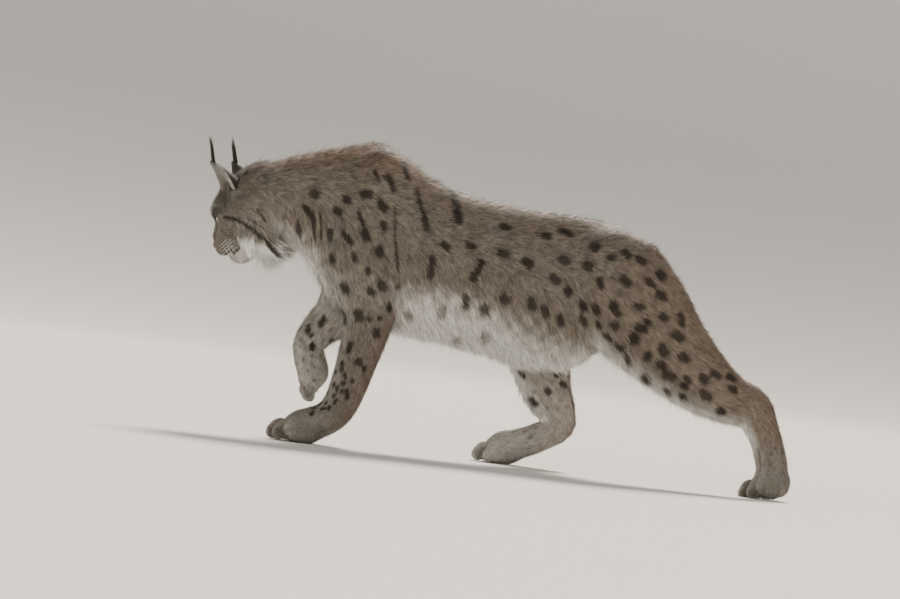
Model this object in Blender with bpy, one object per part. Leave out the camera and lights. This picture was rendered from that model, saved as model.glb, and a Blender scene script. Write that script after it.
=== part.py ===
"""A life-size Eurasian lynx in mid stride, as a still museum model.

Metres, +Z up. The animal faces -X and its left side is -Y. The body is one smooth
distance field made of tapered lengths and ovals, meshed region by region and parted
into named pieces by flat cuts. All measures reach out to the tips of the coat.
"""
import math
import random

import bmesh
import bpy
import numpy as np
from mathutils import Vector

# Trunk stations: place along the body, height of the back, height of the belly, half width.
# The belly is given without the fringe of long hair that hangs from it.
TRUNK = (
    (-0.470, 0.586, 0.450, 0.070),
    (-0.420, 0.604, 0.422, 0.080),
    (-0.360, 0.625, 0.392, 0.090),
    (-0.300, 0.643, 0.345, 0.099),
    (-0.240, 0.657, 0.300, 0.106),
    (-0.180, 0.638, 0.276, 0.110),
    (-0.120, 0.601, 0.267, 0.113),
    (-0.050, 0.575, 0.261, 0.115),
    (0.040, 0.562, 0.248, 0.112),
    (0.120, 0.556, 0.232, 0.106),
    (0.200, 0.554, 0.236, 0.101),
    (0.270, 0.547, 0.276, 0.098),
    (0.330, 0.525, 0.330, 0.086),
    (0.362, 0.500, 0.375, 0.060),
)
TRUNK_EGG = 0.16

# Limb rows: place along, place across, height, half width, half depth
FORELEG_LEFT = (
    (-0.262, -0.070, 0.430, 0.046, 0.075),
    (-0.225, -0.080, 0.345, 0.046, 0.068),
    (-0.210, -0.083, 0.280, 0.042, 0.056),
    (-0.222, -0.084, 0.190, 0.037, 0.045),
    (-0.243, -0.085, 0.100, 0.034, 0.039),
    (-0.270, -0.086, 0.060, 0.036, 0.037),
    (-0.315, -0.087, 0.038, 0.039, 0.036),
)
FORELEG_RIGHT = (
    (-0.290, 0.070, 0.430, 0.046, 0.075),
    (-0.262, 0.080, 0.350, 0.045, 0.066),
    (-0.275, 0.082, 0.290, 0.041, 0.056),
    (-0.312, 0.080, 0.245, 0.036, 0.043),
    (-0.333, 0.078, 0.212, 0.034, 0.036),
    (-0.328, 0.077, 0.175, 0.035, 0.035),
    (-0.318, 0.076, 0.150, 0.035, 0.030),
)
HINDLEG_LEFT = (
    (0.300, -0.066, 0.420, 0.058, 0.118),
    (0.365, -0.073, 0.360, 0.056, 0.112),
    (0.430, -0.078, 0.300, 0.050, 0.092),
    (0.500, -0.081, 0.246, 0.043, 0.072),
    (0.570, -0.083, 0.207, 0.036, 0.053),
    (0.622, -0.084, 0.190, 0.033, 0.045),
    (0.655, -0.085, 0.140, 0.030, 0.036),
    (0.677, -0.086, 0.085, 0.032, 0.035),
    (0.684, -0.087, 0.050, 0.035, 0.035),
)
HINDLEG_RIGHT = (
    (0.270, 0.066, 0.420, 0.058, 0.118),
    (0.205, 0.073, 0.340, 0.056, 0.110),
    (0.165, 0.078, 0.270, 0.050, 0.080),
    (0.180, 0.081, 0.200, 0.043, 0.060),
    (0.210, 0.083, 0.140, 0.036, 0.046),
    (0.225, 0.084, 0.100, 0.032, 0.036),
    (0.190, 0.085, 0.070, 0.031, 0.033),
    (0.145, 0.086, 0.048, 0.034, 0.034),
    (0.115, 0.087, 0.040, 0.037, 0.034),
)
TAIL = (
    (0.350, 0.012, 0.475, 0.034, 0.034),
    (0.400, 0.016, 0.442, 0.030, 0.030),
    (0.434, 0.020, 0.385, 0.030, 0.030),
    (0.452, 0.022, 0.325, 0.023, 0.023),
)
# Muscles: middle, radii, tilt in the side plane in degrees, blend
MUSCLES = (
    ((-0.238, -0.062, 0.520), (0.068, 0.040, 0.118), -12, 0.045),
    ((-0.262, 0.062, 0.512), (0.068, 0.040, 0.118), -22, 0.045),
    ((-0.232, -0.080, 0.400), (0.070, 0.040, 0.090), 12, 0.040),
    ((-0.255, 0.080, 0.400), (0.070, 0.040, 0.085), 10, 0.040),
    ((0.300, -0.058, 0.430), (0.105, 0.052, 0.095), 10, 0.050),
    ((0.270, 0.058, 0.430), (0.105, 0.052, 0.095), -5, 0.050),
)
LEG_BLEND = 0.025
TAIL_BLEND = 0.015
HEAD_BLEND = 0.030

# Paws: middle, dip below level in degrees, scale
PAWS = (
    ((-0.325, -0.087, 0.028), 0, 1.00),
    ((-0.317, 0.076, 0.142), 72, 0.88),
    ((0.680, -0.088, 0.028), 8, 0.90),
    ((0.106, 0.087, 0.026), 0, 0.92),
)
PAW_PAD = (0.044, 0.036, 0.032)
TOE_PITCH = 0.0193
TOE_KNUCKLE = (0.026, 0.0125, 0.026)
TOE_TIP = (0.016, 0.0115, 0.018)
TOE_LEAD = 0.034
OUTER_TOE_LEAD = 0.026

# Head: its own frame runs forward, left and up from the middle of the braincase
HEAD_CENTRE = (-0.4806, 0.006, 0.4899)
HEAD_YAW = math.radians(22)
HEAD_PITCH = math.radians(40)
HEAD_ROLL = math.radians(5)
HEAD_REACH = 0.17
# Head ovals: middle, radii, tilt in degrees, blend; those off the middle are mirrored
HEAD_OVALS = (
    ((0.000, 0.000, 0.004), (0.083, 0.066, 0.066), 0, 0.000),
    ((0.040, 0.000, 0.038), (0.046, 0.036, 0.026), -28, 0.020),
    ((0.060, 0.026, 0.030), (0.024, 0.020, 0.016), -20, 0.014),
    ((0.040, 0.044, -0.012), (0.042, 0.027, 0.034), 10, 0.025),
    ((0.074, 0.000, -0.030), (0.042, 0.036, 0.031), 0, 0.020),
    ((0.097, 0.016, -0.036), (0.023, 0.020, 0.020), 0, 0.010),
    ((0.084, 0.000, -0.066), (0.022, 0.022, 0.017), 0, 0.014),
    ((0.004, 0.052, -0.050), (0.040, 0.026, 0.050), 10, 0.025),
)
BRIDGE = ((0.060, 0.0, 0.026, 0.025, 0.019), (0.105, 0.0, -0.006, 0.017, 0.013))
NOSE = ((0.106, 0.0, -0.013, 0.0165, 0.012), (0.115, 0.0, -0.017, 0.0155, 0.011))
JAW = ((0.082, 0.011, -0.064, 0.018, 0.018), (0.015, 0.040, -0.062, 0.026, 0.026))
CHEEK = (
    (0.012, 0.050, -0.060, 0.024, 0.030),
    (0.012, 0.046, -0.088, 0.015, 0.020),
)

# Eyes, in the head's frame
EYE_CENTRE = (0.068, 0.034, 0.015)
EYE_RADIUS = 0.0125
EYE_GAZE = math.radians(33)
LID_THICKNESS = 0.0028
LID_HALF_WIDTH = 0.0125
LID_HALF_HEIGHT = 0.0082
LID_SLANT = math.radians(-16)

# Nostrils and mouth, in the head's frame
NOSTRIL = ((0.1235, 0.0085, -0.0175), (0.006, 0.0032, 0.0030))
MOUTH_HEIGHT = -0.053
MOUTH_CORNER = 0.052
MOUTH_RISE = 5.0
MOUTH_RADIUS = 0.0026
MOUTH_DEPTH = 0.0012

# Ears, in the head's frame
EAR_BASE = (0.010, 0.045, 0.040)
EAR_TIP = (0.0135, 0.062, 0.122)
EAR_RADIUS = 0.0265
EAR_THICKNESS = 0.0036
EAR_FACING = math.radians(52)
EAR_SEAT = 0.054
SEAT_RADIUS = 0.036
SEAT_HEIGHT = 0.200

# Locks: long hair as flat, tapered, bent blades; the lengths are those of the largest
LOCK_THICKNESS = 0.0042
LOCK_SINK = 0.010
LOCK_STATIONS = (0.0, 0.30, 0.62, 0.86)
LOCK_STEPS = 8
EAR_TUFT = (0.052, 0.010)
EAR_TUFT_LOCKS = 5
EAR_TUFT_LEAN = -0.70
EAR_TUFT_FAN = 0.35
RUFF = (0.066, 0.022)
RUFF_LIFT = (20, -14)
RUFF_ROWS = ((-0.004, 0.85), (-0.030, 0.90), (-0.054, 0.95), (-0.078, 1.0))
RUFF_COLUMNS = (-0.016, 0.008, 0.032)
RUFF_POINT = 0.012
RUFF_CONVERGE = 9.0
FRINGE = (0.055, 0.026)
FRINGE_LIE = (1.0, 0.0, -0.9)
FRINGE_LIFT = (20, -6)
FRINGE_HANG = 14
# Places along the body and turns round the trunk, in degrees from straight down, where locks grow
THROAT = ((-0.448, -0.424, -0.400), (-50, -18, 18, 50))
CHEST = ((-0.335, -0.306, -0.277), (-15, 15))
BELLY = (tuple(-0.165 + 0.036 * i for i in range(10)), (-50, -27, -5, 17, 40))
BELLY_RIGHT_END = 0.040
TRUNK_MIDDLE = 0.42
ROW_STAGGER = 6
RAY_START = 0.3

GAP = 0.0003
REACH = 0.035
FAR = 0.2

# Cutting planes: a point and the direction that counts as beyond
CUTS = {
    "floor": ((0.0, 0.0, 0.0), (0.0, 0.0, 1.0)),
    "nape": ((-0.432, 0.0, 0.480), (-0.84, 0.28, -0.46)),
    "shoulder": ((-0.290, 0.0, 0.645), (-0.974, 0.0, 0.227)),
    "fore_left_inner": ((0.0, -0.034, 0.0), (0.0, -1.0, 0.0)),
    "fore_right_inner": ((0.0, 0.034, 0.0), (0.0, 1.0, 0.0)),
    "fore_top": ((-0.230, 0.0, 0.470), (0.30, 0.0, 0.95)),
    "fore_rear": ((-0.160, 0.0, 0.400), (1.0, 0.0, 0.0)),
    "elbow_left": ((-0.215, 0.0, 0.265), (0.10, 0.0, 1.0)),
    "wrist_left": ((-0.250, 0.0, 0.085), (0.56, 0.0, 0.83)),
    "elbow_right": ((-0.285, 0.0, 0.285), (0.50, 0.0, 0.86)),
    "wrist_right": ((-0.333, 0.0, 0.205), (0.0, 0.0, 1.0)),
    "hind_left_inner": ((0.0, -0.018, 0.0), (0.0, -1.0, 0.0)),
    "hind_right_inner": ((0.0, 0.018, 0.0), (0.0, 1.0, 0.0)),
    "hind_top": ((0.280, 0.0, 0.475), (0.25, 0.0, 0.97)),
    "hind_left_front": ((0.240, 0.0, 0.360), (-0.912, 0.0, -0.410)),
    "hind_right_front": ((0.125, 0.0, 0.345), (-0.94, 0.0, 0.34)),
    "knee_left": ((0.440, 0.0, 0.290), (-0.78, 0.0, 0.62)),
    "hock_left": ((0.630, 0.0, 0.180), (-0.80, 0.0, 0.60)),
    "knee_right": ((0.180, 0.0, 0.205), (-0.10, 0.0, 1.0)),
    "hock_right": ((0.215, 0.0, 0.102), (0.20, 0.0, 0.98)),
    "tail_root": ((0.412, 0.017, 0.428), (0.60, 0.07, -0.80)),
    "tail_back": ((0.438, 0.0, 0.450), (0.80, 0.0, 0.60)),
    "tail_front": ((0.386, 0.0, 0.408), (-0.80, 0.0, -0.60)),
    "tail_right": ((0.0, 0.056, 0.0), (0.0, 1.0, 0.0)),
}
FORE_LEFT = (("shoulder", -1), ("fore_left_inner", 1), ("fore_top", -1), ("fore_rear", -1))
FORE_RIGHT = (("shoulder", -1), ("fore_right_inner", 1), ("fore_top", -1), ("fore_rear", -1))
HIND_LEFT = (("hind_left_inner", 1), ("hind_top", -1), ("hind_left_front", -1))
HIND_RIGHT = (("hind_right_inner", 1), ("hind_top", -1), ("hind_right_front", -1))
TAIL_REGION = (
    ("tail_root", 1), ("tail_back", -1), ("tail_front", -1), ("tail_right", -1), ("hind_left_inner", -1),
)
# Body pieces: cuts that bound them, regions taken out, box, grid step, triangles, colour
PIECES = {
    "head": ((("nape", 1),), (), ((-0.62, -0.13, 0.33), (-0.35, 0.15, 0.62)), 0.0016, 3000, "coat_grey"),
    "neck": ((("nape", -1), ("shoulder", 1)), (), ((-0.54, -0.13, 0.31), (-0.26, 0.14, 0.68)), 0.005, 700, "coat_grey"),
    "torso": (
        (("shoulder", -1),), (FORE_LEFT, FORE_RIGHT, HIND_LEFT, HIND_RIGHT, TAIL_REGION),
        ((-0.42, -0.17, 0.17), (0.48, 0.17, 0.69)), 0.007, 2100, "coat_grey",
    ),
    "tail": (TAIL_REGION, (), ((0.34, -0.04, 0.27), (0.52, 0.08, 0.52)), 0.004, 300, "coat_tail"),
    "foreleg_left_upper": (
        FORE_LEFT + (("elbow_left", 1),), (), ((-0.42, -0.17, 0.22), (-0.12, -0.02, 0.56)), 0.005, 600, "coat_grey",
    ),
    "foreleg_left_lower": (
        FORE_LEFT + (("elbow_left", -1), ("wrist_left", 1)), (),
        ((-0.34, -0.15, 0.02), (-0.14, -0.02, 0.32)), 0.004, 500, "coat_grey",
    ),
    "forepaw_left": (
        FORE_LEFT + (("wrist_left", -1), ("floor", 1)), (),
        ((-0.42, -0.16, -0.02), (-0.20, -0.02, 0.13)), 0.0028, 900, "coat_pale",
    ),
    "foreleg_right_upper": (
        FORE_RIGHT + (("elbow_right", 1),), (), ((-0.43, 0.02, 0.22), (-0.12, 0.17, 0.56)), 0.005, 600, "coat_grey",
    ),
    "foreleg_right_lower": (
        FORE_RIGHT + (("elbow_right", -1), ("wrist_right", 1)), (),
        ((-0.41, 0.02, 0.17), (-0.22, 0.15, 0.34)), 0.004, 400, "coat_grey",
    ),
    "forepaw_right": (
        FORE_RIGHT + (("wrist_right", -1),), (), ((-0.40, 0.02, 0.06), (-0.25, 0.14, 0.24)), 0.0028, 900, "coat_pale",
    ),
    "hindleg_left_upper": (
        HIND_LEFT + (("knee_left", 1),), (TAIL_REGION,),
        ((0.16, -0.17, 0.17), (0.54, 0.0, 0.54)), 0.006, 700, "coat_grey",
    ),
    "hindleg_left_lower": (
        HIND_LEFT + (("knee_left", -1), ("hock_left", 1)), (),
        ((0.34, -0.15, 0.12), (0.68, 0.0, 0.44)), 0.005, 600, "coat_grey",
    ),
    "hindpaw_left": (
        HIND_LEFT + (("hock_left", -1), ("floor", 1)), (),
        ((0.57, -0.15, -0.02), (0.75, -0.02, 0.27)), 0.003, 1000, "coat_pale",
    ),
    "hindleg_right_upper": (
        HIND_RIGHT + (("knee_right", 1),), (TAIL_REGION,),
        ((0.02, 0.0, 0.17), (0.43, 0.17, 0.54)), 0.006, 700, "coat_grey",
    ),
    "hindleg_right_lower": (
        HIND_RIGHT + (("knee_right", -1), ("hock_right", 1)), (),
        ((0.06, 0.02, 0.05), (0.32, 0.16, 0.24)), 0.004, 450, "coat_grey",
    ),
    "hindpaw_right": (
        HIND_RIGHT + (("hock_right", -1), ("floor", 1)), (),
        ((0.01, 0.02, -0.02), (0.30, 0.16, 0.15)), 0.003, 1000, "coat_pale",
    ),
}
# Finishes: colour, roughness
FINISHES = {
    "coat_grey": ((0.30, 0.25, 0.19), 0.85),
    "coat_pale": ((0.46, 0.41, 0.34), 0.85),
    "coat_tail": ((0.05, 0.045, 0.04), 0.85),
    "coat_ear": ((0.16, 0.14, 0.12), 0.80),
    "eye_amber": ((0.36, 0.24, 0.06), 0.10),
}


def smooth_stations(rows, steps):
    """Rows along a smooth curve through the given rows, all columns alike."""
    rows = np.asarray(rows, float)
    slopes = np.gradient(rows, axis=0)
    out = []
    for i in range(len(rows) - 1):
        for t in np.arange(steps) / steps:
            a = 2 * t**3 - 3 * t**2 + 1
            b = t**3 - 2 * t**2 + t
            c = 3 * t**2 - 2 * t**3
            d = t**3 - t**2
            out.append(a * rows[i] + b * slopes[i] + c * rows[i + 1] + d * slopes[i + 1])
    out.append(rows[-1])
    return np.array(out)


def smooth_min(a, b, blend):
    """The nearer of two distances, with a rounded valley of the given width."""
    if blend <= 0:
        return np.minimum(a, b)
    h = np.maximum(blend - np.abs(a - b), 0) / blend
    return np.minimum(a, b) - h * h * blend / 4


def smooth_max(a, b, blend):
    return -smooth_min(-a, -b, blend)


def oval(p, q, r, radii):
    """Distance to an oval, close to true at its surface."""
    a, b, c = radii
    near = np.sqrt((p / a)**2 + (q / b)**2 + (r / c)**2) + 1e-9
    slope = np.sqrt((p / a**2)**2 + (q / b**2)**2 + (r / c**2)**2) + 1e-9
    return near * (near - 1) / slope


def tilted_oval(x, y, z, centre, radii, tilt):
    c = math.cos(math.radians(tilt))
    s = math.sin(math.radians(tilt))
    p = x - centre[0]
    q = y - centre[1]
    r = z - centre[2]
    return oval(p * c + r * s, q, r * c - p * s, radii)


def length_distance(x, y, z, start, end):
    """Distance to one tapered oval length between two limb rows."""
    run = end[:3] - start[:3]
    length = float(np.linalg.norm(run)) + 1e-9
    u = run / length
    side = np.array((0.0, 1.0, 0.0)) - u * u[1]
    side /= np.linalg.norm(side)
    up = np.cross(u, side)
    qx = x - start[0]
    qy = y - start[1]
    qz = z - start[2]
    along = qx * u[0] + qy * u[1] + qz * u[2]
    t = np.clip(along / length, 0, 1)
    width = start[3] + (end[3] - start[3]) * t
    depth = start[4] + (end[4] - start[4]) * t
    across = qx * side[0] + qy * side[1] + qz * side[2]
    lift = qx * up[0] + qy * up[1] + qz * up[2]
    return oval(across, lift, along - t * length, (width, depth, np.minimum(width, depth)))


def trunk_distance(x, y, z):
    rows = smooth_stations(TRUNK, 6)
    top = np.interp(x, rows[:, 0], rows[:, 1])
    belly = np.interp(x, rows[:, 0], rows[:, 2])
    wide = np.interp(x, rows[:, 0], rows[:, 3])
    deep = (top - belly) / 2
    lift = z - (top + belly) / 2
    wide = wide * (1 - TRUNK_EGG * np.clip(lift / deep, -1, 1))
    past = x - np.clip(x, TRUNK[0][0], TRUNK[-1][0])
    return oval(y, lift, past, (wide, deep, wide))


class Field:
    """Distance to the body's surface, on a grid of three axes."""

    def __init__(self, axes):
        self.axes = axes
        self.dist = np.full([len(v) for v in axes], FAR, np.float32)

    def window(self, low, high):
        """The cells within reach of a box, and their coordinates."""
        cut = []
        for axis, lo, hi in zip(self.axes, low, high):
            cut.append(slice(*np.searchsorted(axis, (lo - REACH, hi + REACH))))
        x, y, z = (axis[c] for axis, c in zip(self.axes, cut))
        return tuple(cut), x[:, None, None], y[None, :, None], z[None, None, :]

    def add(self, shape, low, high, blend):
        cut, x, y, z = self.window(low, high)
        if self.dist[cut].size:
            self.dist[cut] = smooth_min(self.dist[cut], shape(x, y, z), blend)

    def add_limb(self, rows, blend, steps=4):
        rows = smooth_stations(rows, steps)
        limb = Field(self.axes)
        for start, end in zip(rows[:-1], rows[1:]):
            size = max(start[3:].max(), end[3:].max())
            low = np.minimum(start, end)[:3] - size
            high = np.maximum(start, end)[:3] + size
            limb.add(lambda x, y, z: length_distance(x, y, z, start, end), low, high, 0)
        self.dist = smooth_min(self.dist, limb.dist, blend)


def head_axes():
    """The head's forward, left and up directions in the world."""
    level = np.array((-math.cos(HEAD_YAW), math.sin(HEAD_YAW), 0.0))
    left = np.array((-math.sin(HEAD_YAW), -math.cos(HEAD_YAW), 0.0))
    up = np.array((0.0, 0.0, 1.0))
    forward = math.cos(HEAD_PITCH) * level - math.sin(HEAD_PITCH) * up
    up = math.sin(HEAD_PITCH) * level + math.cos(HEAD_PITCH) * up
    rolled = math.cos(HEAD_ROLL) * left - math.sin(HEAD_ROLL) * up
    up = math.cos(HEAD_ROLL) * up + math.sin(HEAD_ROLL) * left
    return forward, rolled, up


def head_point(place, side=1):
    """World position of a place in the head's frame, on its left or right side."""
    forward, left, up = head_axes()
    return np.array(HEAD_CENTRE) + place[0] * forward + side * place[1] * left + place[2] * up


def to_head(x, y, z):
    x = x - HEAD_CENTRE[0]
    y = y - HEAD_CENTRE[1]
    z = z - HEAD_CENTRE[2]
    return tuple(x * v[0] + y * v[1] + z * v[2] for v in head_axes())


def limb_in_head(a, b, c, rows):
    dist = FAR
    for start, end in zip(rows[:-1], rows[1:]):
        dist = np.minimum(dist, length_distance(a, b, c, np.array(start), np.array(end)))
    return dist


def eye_frame(a, b, c):
    """Coordinates about the eye: along its gaze, towards the ear, and up."""
    p = a - EYE_CENTRE[0]
    q = b - EYE_CENTRE[1]
    r = c - EYE_CENTRE[2]
    gaze = p * math.cos(EYE_GAZE) + q * math.sin(EYE_GAZE)
    outward = q * math.cos(EYE_GAZE) - p * math.sin(EYE_GAZE)
    wide = outward * math.cos(LID_SLANT) - r * math.sin(LID_SLANT)
    high = r * math.cos(LID_SLANT) + outward * math.sin(LID_SLANT)
    return gaze, wide, high


def carve_eye(dist, a, b, c):
    """Lids as a thin shell over the eyeball, open in an almond."""
    gaze, wide, high = eye_frame(a, b, c)
    ball = np.sqrt(gaze**2 + wide**2 + high**2)
    dist = smooth_min(dist, ball - EYE_RADIUS - LID_THICKNESS, 0.006)
    almond = np.abs(high) - LID_HALF_HEIGHT * (1 - (wide / LID_HALF_WIDTH)**2)
    opening = np.maximum(almond * 0.7, 0.004 - gaze)
    opening = np.maximum(opening, EYE_RADIUS * 0.86 - ball)
    return smooth_max(dist, -opening, 0.0015)


def carve_mouth(dist, a, b, c):
    """A thin line round the muzzle from corner to corner, with the nostrils above it."""
    lip = MOUTH_HEIGHT + MOUTH_RISE * np.maximum(0.085 - a, 0)**2
    groove = np.sqrt((c - lip)**2 + (dist + MOUTH_DEPTH)**2) - MOUTH_RADIUS
    groove = np.maximum(groove, MOUTH_CORNER - a)
    dist = smooth_max(dist, -groove, 0.001)
    place, radii = NOSTRIL
    return smooth_max(dist, -oval(a - place[0], b - place[1], c - place[2], radii), 0.001)


def head_distance(x, y, z):
    a, b, c = to_head(x, y, z)
    b = np.abs(b)
    dist = FAR
    for centre, radii, tilt, blend in HEAD_OVALS:
        dist = smooth_min(dist, tilted_oval(a, b, c, centre, radii, tilt), blend)
    dist = smooth_min(dist, limb_in_head(a, b, c, BRIDGE), 0.018)
    dist = smooth_min(dist, limb_in_head(a, b, c, NOSE), 0.005)
    dist = smooth_min(dist, limb_in_head(a, b, c, JAW), 0.020)
    dist = smooth_min(dist, limb_in_head(a, b, c, CHEEK), 0.015)
    dist = carve_eye(dist, a, b, c)
    return carve_mouth(dist, a, b, c)


def paw_ovals():
    """Middle, radii and blend of each oval of a paw, forward, across and up."""
    ovals = [((0.0, 0.0, 0.0), PAW_PAD, 0.020)]
    for toe in (-1.5, -0.5, 0.5, 1.5):
        lead = OUTER_TOE_LEAD if abs(toe) > 1 else TOE_LEAD
        across = toe * TOE_PITCH
        ovals.append(((lead, across, 0.0), TOE_KNUCKLE, 0.006))
        ovals.append(((lead + TOE_TIP[0], across, -0.010), TOE_TIP, 0.004))
    return ovals


def add_paw(field, centre, dip, scale):
    c = math.cos(math.radians(dip))
    s = math.sin(math.radians(dip))
    low = np.array(centre) - 0.09
    high = np.array(centre) + 0.09

    for middle, radii, blend in paw_ovals():
        def shape(x, y, z):
            p = (x - centre[0]) / scale
            q = (y - centre[1]) / scale
            r = (z - centre[2]) / scale
            forward = -p * c - r * s
            lift = r * c - p * s
            return scale * oval(forward - middle[0], q - middle[1], lift - middle[2], radii)
        field.add(shape, low, high, blend)


def body_field(low, high, step):
    axes = [np.arange(lo, hi + step, step, dtype=np.float32) for lo, hi in zip(low, high)]
    field = Field(axes)
    field.add(trunk_distance, (-0.56, -0.13, 0.20), (0.46, 0.13, 0.67), 0)
    for centre, radii, tilt, blend in MUSCLES:
        big = max(radii)
        low_corner = np.array(centre) - big
        high_corner = np.array(centre) + big
        field.add(lambda x, y, z: tilted_oval(x, y, z, centre, radii, tilt), low_corner, high_corner, blend)
    field.add(head_distance, np.array(HEAD_CENTRE) - HEAD_REACH, np.array(HEAD_CENTRE) + HEAD_REACH, HEAD_BLEND)
    for leg in (FORELEG_LEFT, FORELEG_RIGHT, HINDLEG_LEFT, HINDLEG_RIGHT):
        field.add_limb(leg, LEG_BLEND)
    field.add_limb(TAIL, TAIL_BLEND)
    for centre, dip, scale in PAWS:
        add_paw(field, centre, dip, scale)
    return field


def net_corners(inside, dist):
    """Mean crossing point of the surface in each cell it passes through."""
    cells = tuple(n - 1 for n in inside.shape)
    total = np.zeros(cells + (3,), np.float32)
    count = np.zeros(cells, np.int8)
    for axis in range(3):
        p, q = (axis + 1) % 3, (axis + 2) % 3
        start = [slice(None)] * 3
        end = [slice(None)] * 3
        start[axis] = slice(0, -1)
        end[axis] = slice(1, None)
        near, far = dist[tuple(start)], dist[tuple(end)]
        crossed = inside[tuple(start)] != inside[tuple(end)]
        share = np.where(crossed, near / np.where(crossed, near - far, 1), 0)
        for step_p in (0, 1):
            for step_q in (0, 1):
                part = [slice(None)] * 3
                part[p] = slice(step_p, step_p + cells[p])
                part[q] = slice(step_q, step_q + cells[q])
                hit = crossed[tuple(part)]
                total[..., axis] += share[tuple(part)]
                total[..., p] += hit * step_p
                total[..., q] += hit * step_q
                count += hit
    return total, count


def surface_net(dist, low, step):
    """Corners and four-sided faces of the surface where the distance is zero."""
    inside = dist < 0
    total, count = net_corners(inside, dist)
    cells = np.argwhere(count > 0)
    corners = np.asarray(low) + step * (cells + total[count > 0] / count[count > 0][:, None])
    number = np.full(count.shape, -1, np.int64)
    number[count > 0] = np.arange(len(cells))
    faces = []
    for axis in range(3):
        p, q = (axis + 1) % 3, (axis + 2) % 3
        start = [slice(1, -1)] * 3
        end = [slice(1, -1)] * 3
        start[axis] = slice(0, -1)
        end[axis] = slice(1, None)
        leaves = inside[tuple(start)] & ~inside[tuple(end)]
        enters = ~inside[tuple(start)] & inside[tuple(end)]
        offset = np.ones(3, int)
        offset[axis] = 0
        for hit, turned in ((leaves, False), (enters, True)):
            base = np.argwhere(hit) + offset
            ring = []
            for step_p, step_q in ((-1, -1), (0, -1), (0, 0), (-1, 0)):
                cell = base.copy()
                cell[:, p] += step_p
                cell[:, q] += step_q
                ring.append(number[cell[:, 0], cell[:, 1], cell[:, 2]])
            ring = np.stack(ring, axis=1)
            faces.append(ring[:, ::-1] if turned else ring)
    return corners, np.concatenate(faces)


def new_object(name, corners, faces):
    mesh = bpy.data.meshes.new(name)
    mesh.from_pydata(corners.tolist(), [], faces.tolist())
    return link_object(name, mesh)


def link_object(name, mesh):
    item = bpy.data.objects.new(name, mesh)
    bpy.context.scene.collection.objects.link(item)
    return item


def apply_modifiers(item):
    """Replace an object's mesh by what its modifiers make of it."""
    bpy.context.view_layer.update()
    seen = item.evaluated_get(bpy.context.evaluated_depsgraph_get())
    mesh = bpy.data.meshes.new_from_object(seen)
    item.modifiers.clear()
    item.data = mesh


def triangulate(item):
    bm = bmesh.new()
    bm.from_mesh(item.data)
    bmesh.ops.triangulate(bm, faces=bm.faces[:])
    bm.to_mesh(item.data)
    bm.free()


def reduce_faces(item, triangles):
    triangulate(item)
    share = triangles / max(len(item.data.polygons), 1)
    if share < 1:
        thin = item.modifiers.new("reduce", "DECIMATE")
        thin.ratio = share
        apply_modifiers(item)


def combine(item, other, operation):
    cut = item.modifiers.new("combine", "BOOLEAN")
    cut.operation = operation
    cut.solver = "EXACT"
    cut.object = other
    apply_modifiers(item)
    bpy.data.objects.remove(other)


def region_solid(region, shift):
    """A convex block bounded by the region's cuts, its faces moved outwards by shift."""
    bm = bmesh.new()
    bmesh.ops.create_cube(bm, size=3.0)
    for name, side in region:
        point, beyond = CUTS[name]
        normal = Vector(beyond).normalized() * side
        place = Vector(point) - normal * shift
        parts = bm.verts[:] + bm.edges[:] + bm.faces[:]
        cut = bmesh.ops.bisect_plane(bm, geom=parts, plane_co=place, plane_no=normal, clear_inner=True)
        rim = [edge for edge in cut["geom_cut"] if isinstance(edge, bmesh.types.BMEdge)]
        bmesh.ops.edgeloop_fill(bm, edges=rim)
    bmesh.ops.recalc_face_normals(bm, faces=bm.faces[:])
    mesh = bpy.data.meshes.new("region")
    bm.to_mesh(mesh)
    bm.free()
    return link_object("region", mesh)


def keep_largest(item):
    """Drop every closed surface of the mesh but the largest, then weld and fill."""
    bm = bmesh.new()
    bm.from_mesh(item.data)
    bmesh.ops.remove_doubles(bm, verts=bm.verts[:], dist=1e-5)
    bmesh.ops.dissolve_degenerate(bm, edges=bm.edges[:], dist=1e-5)
    left = set(bm.verts)
    largest = set()
    while left:
        group = {left.pop()}
        front = list(group)
        while front:
            for edge in front.pop().link_edges:
                for vert in edge.verts:
                    if vert not in group:
                        group.add(vert)
                        front.append(vert)
        left -= group
        if len(group) > len(largest):
            largest = group
    bmesh.ops.delete(bm, geom=[v for v in bm.verts if v not in largest], context="VERTS")
    bmesh.ops.triangulate(bm, faces=bm.faces[:])
    bmesh.ops.recalc_face_normals(bm, faces=bm.faces[:])
    bm.to_mesh(item.data)
    bm.free()


def dress(item, finish):
    colour, roughness = FINISHES[finish]
    material = bpy.data.materials.new(f"{finish}_{item.name}")
    material.use_nodes = True
    shader = material.node_tree.nodes["Principled BSDF"]
    shader.inputs["Base Color"].default_value = (*colour, 1.0)
    shader.inputs["Roughness"].default_value = roughness
    shader.inputs["Metallic"].default_value = 0.0
    item.data.materials.clear()
    item.data.materials.append(material)
    item.data.shade_smooth()
    item.data.set_sharp_from_angle(angle=math.radians(50))


def soften(dist):
    """Round off what is finer than the grid."""
    for axis in range(3):
        size = dist.shape[axis]
        lower = np.take(dist, [0, *range(size - 1)], axis=axis)
        upper = np.take(dist, [*range(1, size), size - 1], axis=axis)
        dist = dist / 2 + lower / 4 + upper / 4
    return dist


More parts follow.
